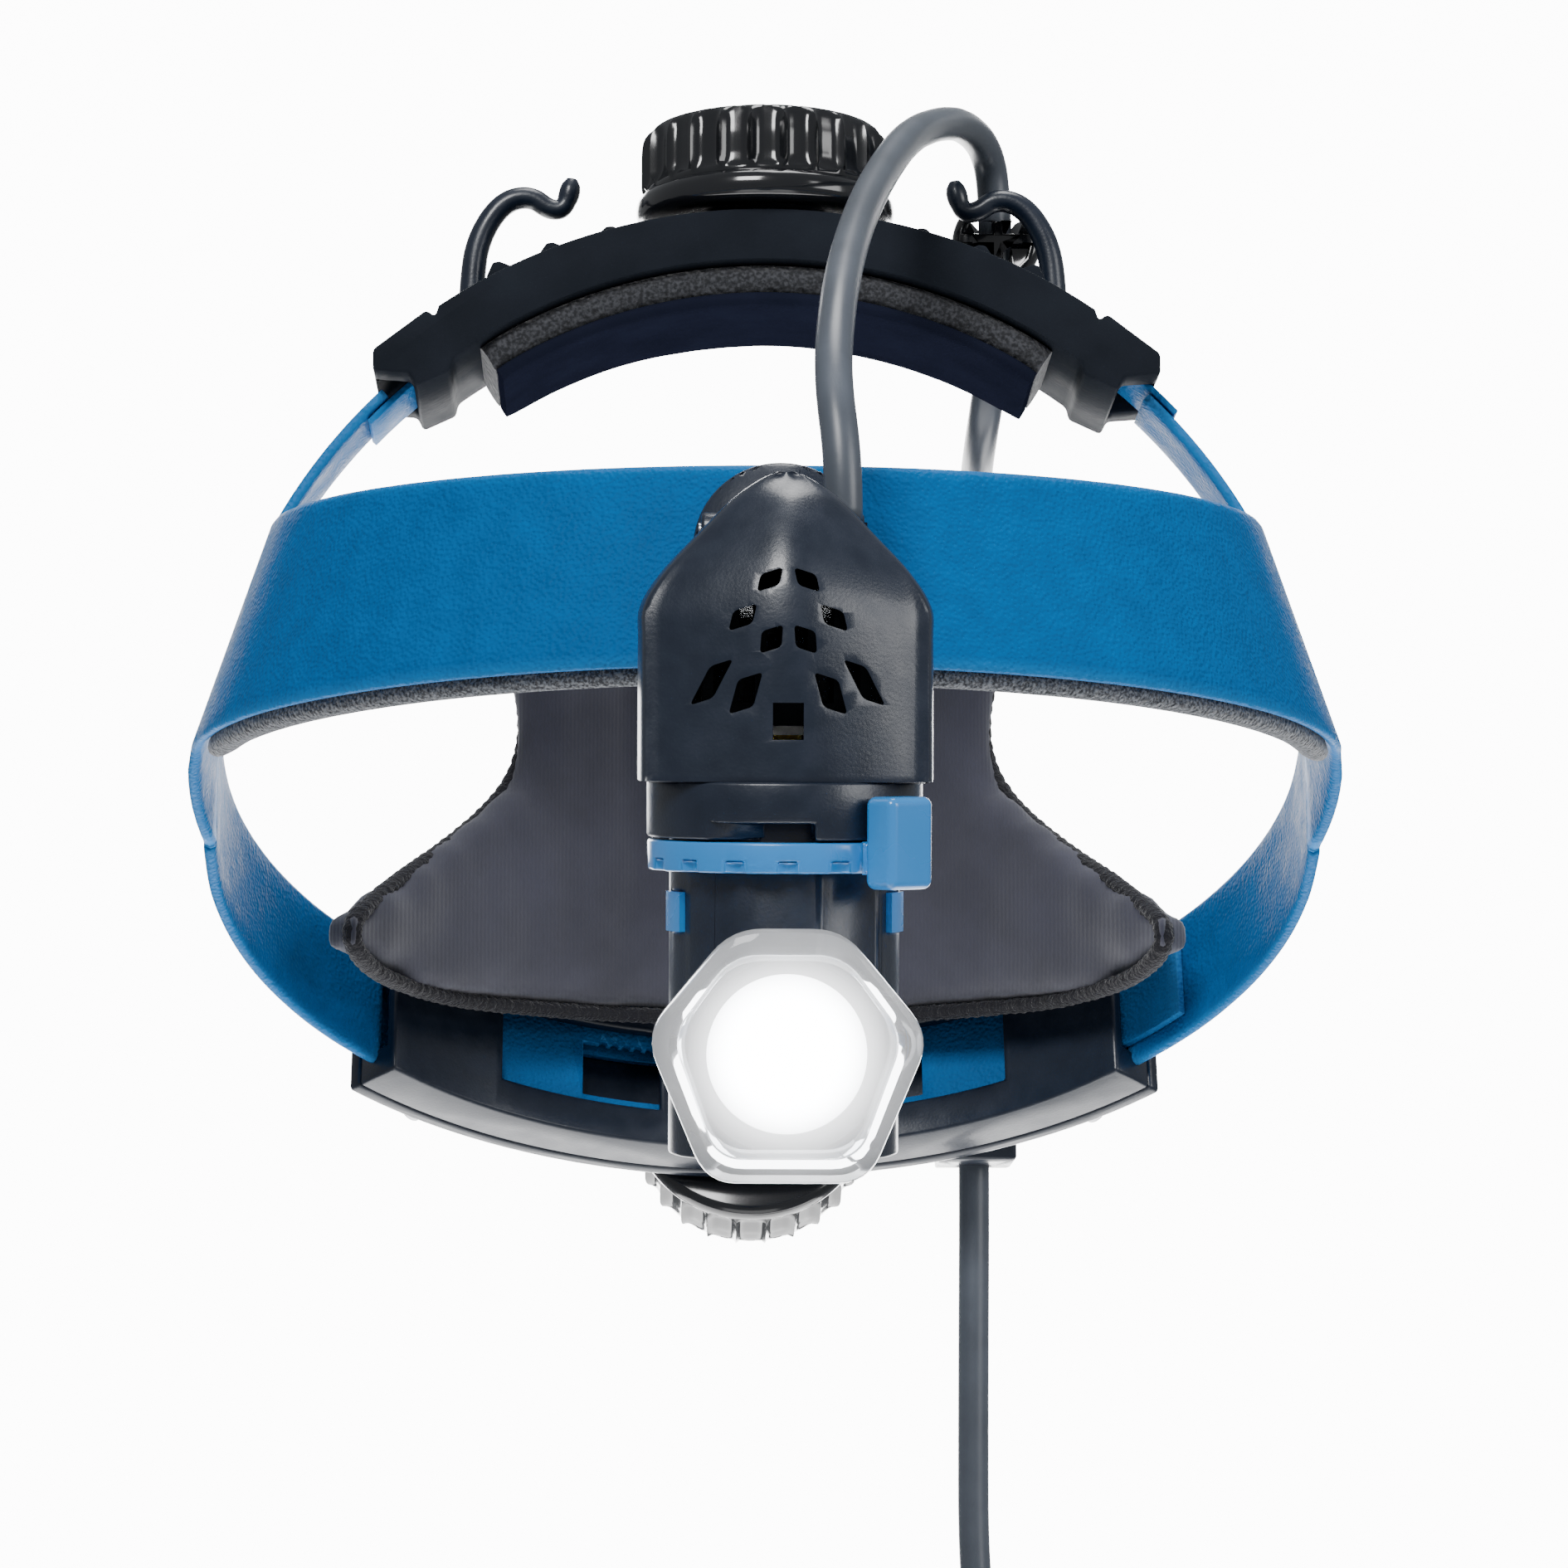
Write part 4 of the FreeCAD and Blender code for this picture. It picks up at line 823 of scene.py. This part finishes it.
HERE = Matrix.Identity(4)
KNOB_ROWS = ((0.0, 14.5), (0.0, 18.6), (0.5, 19.6), (1.3, 19.9), (2.6, 19.9), (3.5, 19.6), (4.1, 18.9),
             (4.4, 18.4), (4.9, 18.5), (5.3, 18.9), (5.8, 19.2), (6.6, 19.3), (7.6, 19.3), (8.8, 19.3),
             (10.0, 19.3), (11.2, 19.25), (12.2, 19.1), (13.1, 18.8), (13.9, 18.2), (14.6, 17.3),
             (15.0, 16.2), (15.2, 15.0), (15.2, 13.2), (14.8, 12.6), (14.8, 4.0), (14.8, 0.0))
FLUTES = 24
FLUTE_DEPTH = 1.5
GRIP_LOW = 5.0
GRIP_HIGH = 14.4
CROWN_KNOB_SEAT = 89.3
REAR_KNOB_SEAT = 91.1


def flute(angle, height):
    """Scooped flutes round the grip that run out at the skirt and below the top rim."""
    if not GRIP_LOW < height < GRIP_HIGH:
        return 0.0
    way = (height - GRIP_LOW) / 9.4
    rise = min(1.0, way / 0.14) * min(1.0, (1.0 - way) / 0.22)
    scoop = abs(math.cos(angle * FLUTES / 2))
    return FLUTE_DEPTH * math.sqrt(max(0.0, 1.0 - (1.0 - scoop) ** 2)) ** 1.5 * math.sqrt(max(0.0, rise))


def make_knobs():
    up = Matrix.Translation((0.0, ARCH_Y, ARCH_CENTRE + CROWN_KNOB_SEAT))
    outward = RING @ Matrix.Translation((REAR_KNOB_SEAT, 0.0, 0.0))
    outward = outward @ Matrix.Rotation(math.radians(90.0), 4, "Y")
    for name, place, body, node in (("crown_knob_cap", up, "crown_knob_set", "crown_knob"),
                                    ("rear_knob_cap", outward, "rear_knob_set", "rear_knob")):
        item = piece(name, lathe(name, KNOB_ROWS, place, dent=flute), "black_gloss", body, (node,))
        smooth_by_angle(item.data, 55.0)


ARCH_OUTER = 88.0
ARCH_INNER = 80.0
ARCH_HALF = 16.5
CHANNEL_IN = 81.8
CHANNEL_OUT = 86.4
CHANNEL_HALF = 9.4


def make_crown_arch():
    """The black beam over the crown: an arch with a strap channel through it and a wedge at each end."""
    half = []
    for step in range(41):
        turn = math.radians(34.4 * step / 40)
        half.append((ARCH_OUTER * math.sin(turn), ARCH_CENTRE + ARCH_OUTER * math.cos(turn)))
    half += [(50.3, 48.4), (51.6, 49.4), (59.6, 43.3), (59.6, 40.0), (54.0, 39.6), (53.0, 37.6), (48.0, 39.9)]
    inner = []
    for step in range(41):
        turn = math.radians(36.5 * (1 - step / 40))
        inner.append((ARCH_INNER * math.sin(turn), ARCH_CENTRE + ARCH_INNER * math.cos(turn)))
    right = half + inner
    outline = right[1:-1] + [(0.0, 57.5)] + [(-x, z) for x, z in right[1:-1][::-1]] + [(0.0, 65.5)]
    data = prism("crown_beam", outline, ARCH_Y - ARCH_HALF, ARCH_Y + ARCH_HALF, HERE)
    item = piece("crown_beam", data, "black_matt", "crown_unit", ("crown_arch",))
    loops = []
    for step in range(61):
        angle = -52.0 + 104.0 * step / 60
        loops.append([crown_point(angle, radius, rise) for radius, rise in
                      ((CHANNEL_IN, -CHANNEL_HALF), (CHANNEL_OUT, -CHANNEL_HALF),
                       (CHANNEL_OUT, CHANNEL_HALF), (CHANNEL_IN, CHANNEL_HALF))])
    cut_away(item, skin("channel", loops))
    rounded(item, 0.55)
    boss = ((-3.0, 9.4), (0.2, 9.4), (0.9, 9.0), (1.2, 8.2), (1.2, 0.0))
    item = piece("crown_boss", lathe("crown_boss", boss, Matrix.Translation((0.0, ARCH_Y, 65.5)), 64),
                 "black_matt", "crown_unit")
    smooth_by_angle(item.data)
    for side in (-1, 1):
        for angle, height in ((15.5, 2.4), (21.5, 2.8), (27.0, 3.4)):
            turn = Matrix.Rotation(math.radians(side * angle), 4, "Y")
            place = Matrix.Translation((0.0, ARCH_Y, ARCH_CENTRE)) @ turn
            outline = [(-3.6 * side, 87.6), (3.0 * side, 87.6), (2.2 * side, 87.9 + height * 0.55),
                       (0.4 * side, 87.9 + height), (-0.6 * side, 87.9 + height * 0.9)]
            name = "crown_rib_%s_%d" % ("left" if side < 0 else "right", angle)
            item = piece(name, prism(name, outline, -9.0, 9.0, place), "black_matt", "crown_unit")
            rounded(item, 0.35)


def make_crown_pad():
    """A foam block under the arch, faced with smooth cloth."""
    for name, node, material, radius_out, radius_in, reach, half, soft in (
            ("crown_foam", "crown_pad", "black_foam", 79.9, 75.2, 33.0, 15.0, 1.2),
            ("crown_cloth", None, "pad_skin", 75.5, 73.5, 32.9, 14.9, 0.9)):
        rows = []
        steps = 60
        for step in range(steps + 1):
            angle = -reach + 2 * reach * step / steps
            end_in = min(step, steps - step)
            pull = (soft, soft * 0.35, soft * 0.1)[end_in] if end_in < 3 else 0.0
            section = wall_loop(-half + pull, half - pull, radius_out - radius_in, rounding=6, rows=10)
            loop = []
            for rise, inset in section:
                spot = crown_point(angle, radius_out - inset, rise)
                sag = noise.noise(spot * 60.0) * 0.25 + noise.noise(spot * 260.0) * 0.08
                loop.append(crown_point(angle, radius_out - inset + sag * inset / 3.0, rise))
            rows.append(loop)
        item = piece(name, skin(name, rows), material, "crown_unit", (node,) if node else ())
        smooth_by_angle(item.data, 60.0)


HOOK = ((45.6, 13.0, 53.0), (45.6, 13.0, 60.5), (44.6, 13.0, 67.5), (41.0, 13.0, 73.2), (36.5, 13.0, 74.4),
        (33.2, 13.0, 71.8), (30.6, 13.0, 72.6), (30.0, 13.0, 77.0))
HOOK_ROOT = 2.4
HOOK_THINNING = 0.7
HOOK_FLATNESS = 0.85
HOOK_TIP = (0.6, 1.0, 1.12, 1.12, 1.08)
HOOK_SIDES = 20
FOOT = ((41.6, 50.0), (49.6, 50.0), (48.2, 55.5), (46.9, 57.0), (44.0, 57.0), (42.6, 55.5))


def make_hooks():
    """Two curled lead hooks that thin towards a rounded tip, each on a small foot."""
    for side, label in ((-1, "left"), (1, "right")):
        line = route([(side * x, y, z) for x, y, z in HOOK], "hook_route")
        loops = []
        count = len(line)
        for index, spot in enumerate(line):
            ahead = (line[min(index + 1, count - 1)] - line[max(index - 1, 0)]).normalized()
            across = ahead.cross(Vector((0.0, 1.0, 0.0))).normalized()
            from_end = count - 1 - index
            swell = HOOK_TIP[from_end] if from_end < len(HOOK_TIP) else 1.0
            thick = (HOOK_ROOT - HOOK_THINNING * index / count) * swell * MM
            loop = []
            for step in range(HOOK_SIDES):
                turn = 2 * math.pi * step / HOOK_SIDES
                loop.append(spot + across * math.cos(turn) * thick * HOOK_FLATNESS
                            + Vector((0, 1, 0)) * math.sin(turn) * thick)
            loops.append(loop)
        name = "hook_wire_" + label
        item = piece(name, skin(name, loops), "black_satin", "crown_unit", ("lead_hook_" + label,))
        smooth_by_angle(item.data, 50.0)
        name = "hook_foot_" + label
        item = piece(name, prism(name, [(side * x, z) for x, z in FOOT], 9.6, 16.4, HERE), "black_matt",
                     "crown_unit")
        rounded(item, 0.7)


GROMMET_X = 37.0
GROMMET_Z = 69.0
BUTTON_ROWS = ((0.0, 4.0), (0.0, 6.0), (0.5, 6.7), (1.4, 7.0), (4.5, 7.1), (7.6, 7.0), (8.4, 6.7), (9.0, 6.0),
               (9.2, 4.0))
BORE_ROWS = ((-16.0, 7.5), (-7.0, 4.2), (-3.5, 3.1), (-1.0, 3.3), (3.0, 4.7), (7.0, 6.6), (16.0, 10.5))
POCKET = ((0.9, 0.9), (5.2, 0.9), (4.6, 3.0), (3.0, 4.6), (0.9, 5.2))


def make_grommet():
    """The glossy lead button, with a flared bore and a cross between four pockets."""
    place = Matrix.Translation((GROMMET_X, 26.5, GROMMET_Z)) @ Matrix.Rotation(math.radians(90.0), 4, "X")
    item = piece("grommet_button", lathe("grommet_button", BUTTON_ROWS, place, 64), "black_gloss",
                 "crown_unit", ("lead_grommet",))
    for x in (-1, 1):
        for z in (-1, 1):
            outline = [(GROMMET_X + x * a, GROMMET_Z + z * b) for a, b in POCKET]
            cut_away(item, prism("pocket", outline, 15.0, 19.4, HERE))
    bore = lathe("bore", BORE_ROWS, Matrix.Translation((GROMMET_X, 22.0, GROMMET_Z)), 48)
    cut_away(item, bore)
    rounded(item, 0.35, angle=45.0)


# ---- racks
TRIM_IN = 78.0
TRIM_OUT = 95.0
TRIM_HALF = 20.0
TRIM_REACH = 60.0


def make_racks():
    """The four notched racks; each stops short of its strap's end inside the channel."""
    for node, body, point, end in (
            ("rear_rack_left", "rear_rack_l", ring_point, 41.0),
            ("rear_rack_right", "rear_rack_r", ring_point, -41.0),
            ("crown_rack_left", "crown_rack_l", crown_point, -38.6),
            ("crown_rack_right", "crown_rack_r", crown_point, 38.6)):
        item = softened(node + "_skin", node, "blue_band", body, 0.0)
        far = math.copysign(TRIM_REACH, end)
        loops = []
        for step in range(9):
            angle = end + (far - end) * step / 8
            loops.append([point(angle, radius, rise) for radius, rise in
                          ((TRIM_IN, -TRIM_HALF), (TRIM_OUT, -TRIM_HALF), (TRIM_OUT, TRIM_HALF),
                           (TRIM_IN, TRIM_HALF))])
        cut_away(item, skin("rack_trim", loops))
        rounded(item, 0.18)


# ---- lamp front
def window_outline(inset, depth):
    """The six-sided window with rounded corners, drawn in the lamp's frame."""
    corners = [(7.2, -52.1 - inset), (18.4 - inset * 1.1, -65.6), (10.4 - inset * 0.4, -84.6 + inset)]
    corners += [(-x, z) for x, z in corners[::-1]]
    points = []
    count = len(corners)
    for index in range(count):
        here = Vector(corners[index])
        before = here + (Vector(corners[index - 1]) - here).normalized() * 4.0
        after = here + (Vector(corners[(index + 1) % count]) - here).normalized() * 4.0
        for step in range(7):
            t = step / 6
            spot = before * (1 - t) ** 2 + here * 2 * t * (1 - t) + after * t * t
            points.append((LAMP @ Vector((spot.x, depth, spot.y))) * MM)
    return points


def make_bezel():
    """The clear bezel: a rounded outer wall, a flat rim and a wide inner chamfer."""
    rows = ((0.0, -33.4), (0.0, -38.6), (0.25, -39.3), (0.9, -39.7), (1.5, -39.95), (2.0, -40.0),
            (2.3, -39.85), (3.6, -38.7), (3.9, -38.3), (3.9, -33.4))
    loops = [window_outline(inset, depth) for inset, depth in rows]
    item = piece("bezel_rim", skin("bezel_rim", loops + loops[:1], close_ends=False), "lit_bezel", "lamp",
                 ("front_bezel",))
    smooth_by_angle(item.data, 30.0)


def softened(name, node, material, body, width, segments=2):
    """A CAD part's form with the sharp edges rounded over."""
    data = NODES[node].data.copy()
    data.transform(NODES[node].matrix_world)
    data.materials.clear()
    mesh = bmesh.new()
    mesh.from_mesh(data)
    bmesh.ops.remove_doubles(mesh, verts=mesh.verts, dist=0.002 * MM)
    bmesh.ops.dissolve_limit(mesh, angle_limit=math.radians(0.5), verts=mesh.verts, edges=mesh.edges)
    mesh.to_mesh(data)
    mesh.free()
    item = piece(name, data, material, body, (node,))
    if width:
        rounded(item, width, segments)
    return item


# ---- rear pad
PAD_ROWS = ((-46.0, 46.0), (-43.5, 63.0), (-38.0, 71.0), (-30.0, 60.5), (-20.0, 46.0), (-10.0, 36.5),
            (0.0, 33.5), (12.0, 35.5), (20.0, 37.5), (25.0, 33.0))
PAD_FRONT = 64.6
PAD_BACK = 72.6
PAD_VOXEL = 0.0045
PAD_PRESSURE = 4.0
SIMULATED_FRAMES = 20
PAD_SWELL = 0.0022
EDGE_OVERLAP = 0.045
BINDING_RADIUS = 68.6
BINDING_DEEP = 1.7
BINDING_WIDE = 1.3


def pad_point(turn, radius, height):
    return Vector((radius * math.sin(turn), REAR_Y + radius * math.cos(turn), height)) * MM


def pad_rows():
    """Height and half angle of the pad's outline, smoothed from its bottom to its top."""
    rows = []
    for line in catmull([[(height, angle)] for height, angle in PAD_ROWS], 5):
        rows.append((line[0][0], math.radians(line[0][1])))
    return rows


def pad_blank():
    """The pad before it is stuffed: two curved faces that meet in a rounded edge."""
    rows = pad_rows()
    loops = []
    across = 40
    for index, (height, reach) in enumerate(rows):
        end_in = min(index, len(rows) - 1 - index)
        pinch = (0.45, 0.72, 0.9, 0.98)[end_in] if end_in < 4 else 1.0
        middle = (PAD_FRONT + PAD_BACK) / 2
        half = (PAD_BACK - PAD_FRONT) / 2 * pinch
        loop = []
        for face in (-1, 1):
            for step in range(across + 1):
                way = -1.0 + 2.0 * step / across
                turn = (reach + EDGE_OVERLAP) * way * (-face)
                round_off = math.sqrt(max(0.0, 1.0 - max(0.0, (abs(way) - 0.94) / 0.06) ** 2))
                loop.append(pad_point(turn, middle + face * half * (0.62 + 0.38 * round_off), height))
        loops.append(loop)
    return skin("pad_blank", loops)


def swollen(item, voxel, pressure, most):
    """Stuff a closed form: remesh it, inflate it as cloth, and hold each point near its start."""
    remesh = item.modifiers.new("remesh", "REMESH")
    remesh.mode = "VOXEL"
    remesh.voxel_size = voxel
    applied(item)
    before = [vertex.co.copy() for vertex in item.data.vertices]
    cloth = item.modifiers.new("cloth", "CLOTH")
    cloth.settings.use_pressure = True
    cloth.settings.uniform_pressure_force = pressure
    cloth.settings.effector_weights.gravity = 0.0
    cloth.settings.quality = 5
    scene = bpy.context.scene
    scene.frame_start = 1
    scene.frame_end = SIMULATED_FRAMES
    for frame_number in range(1, SIMULATED_FRAMES + 1):
        scene.frame_set(frame_number)
    applied(item)
    scene.frame_set(1)
    for vertex, start in zip(item.data.vertices, before):
        step = vertex.co - start
        if step.length > most:
            vertex.co = start + step.normalized() * most
    finer = item.modifiers.new("finer", "SUBSURF")
    finer.levels = 1
    finer.render_levels = 1
    applied(item)
    item.data.polygons.foreach_set("use_smooth", [True] * len(item.data.polygons))


def pad_edge():
    """The outline of the pad, round once, as points on its edge."""
    rows = pad_rows()
    line = []
    for height, reach in rows:
        line.append(pad_point(reach, BINDING_RADIUS, height))
    top_height, top_reach = rows[-1]
    for step in range(1, 24):
        way = 1.0 - 2.0 * step / 24
        line.append(pad_point(top_reach * way, BINDING_RADIUS, top_height + 0.5 * (1 - way * way)))
    for height, reach in rows[::-1]:
        line.append(pad_point(-reach, BINDING_RADIUS, height))
    low_height, low_reach = rows[0]
    for step in range(1, 30):
        way = -1.0 + 2.0 * step / 30
        line.append(pad_point(low_reach * way, BINDING_RADIUS, low_height - 0.6 * (1 - way * way)))
    return line


def make_rear_pad():
    """The stuffed butterfly pad and the stitched binding round its edge."""
    item = piece("rear_pad_skin", pad_blank(), "neoprene", "rear_unit", ("rear_pad",))
    swollen(item, PAD_VOXEL, PAD_PRESSURE, PAD_SWELL)
    line = pad_edge()
    fine = []
    count = len(line)
    for index in range(count):
        here, after = line[index], line[(index + 1) % count]
        pieces = max(1, int((after - here).length / 0.0006))
        fine += [here.lerp(after, step / pieces) for step in range(pieces)]
    for _ in range(14):
        fine = [(fine[index - 1] + fine[index] * 2 + fine[(index + 1) % len(fine)]) / 4
                for index in range(len(fine))]
    loops = []
    total = len(fine)
    for index, spot in enumerate(fine):
        ahead = (fine[(index + 1) % total] - fine[index - 1]).normalized()
        outward = Vector((spot.x, spot.y - REAR_Y * MM, 0.0)).normalized()
        side = ahead.cross(outward).normalized()
        stitch = 1.0 + 0.08 * math.sin(index * 2.1) + 0.08 * noise.noise(spot * 900.0)
        loop = []
        for step in range(10):
            turn = 2 * math.pi * step / 10
            loop.append(spot + (outward * math.cos(turn) * BINDING_DEEP
                                + side * math.sin(turn) * BINDING_WIDE) * stitch * MM)
        loops.append(loop)
    data = skin("pad_binding", loops + loops[:1], close_ends=False)
    piece("pad_binding", data, "binding", "rear_unit")


# ---- the whole scene
make_camera()
dress_nodes()
make_leads()
make_front_band()
make_rear_straps()
make_overhead_straps()
make_brow_pad()
make_hood()
make_knobs()
make_crown_arch()
make_crown_pad()
make_hooks()
make_grommet()
make_bezel()
make_rear_pad()
make_racks()
for shell_name, node_name, look, rides, rounding in (
        ("tray_shell", "rear_tray", "black_satin", "rear_unit", 0.6),
        ("cover_shell", "rear_cover", "black_satin", "rear_unit", 0.7),
        ("mount_shell", "lamp_mount_base", "black_satin", "headband", 0.5),
        ("collar_shell", "lamp_collar", "black_satin", "lamp", 0.4),
        ("aperture_shell", "aperture_ring", "blue_gloss", "aperture", 0.35),
        ("barrel_shell", "optics_barrel", "black_satin", "lamp", 0.4),
        ("clip_shell", "lead_clip", "black_satin", "rear_unit", 0.6)):
    softened(shell_name, node_name, look, rides, rounding)
make_studio()
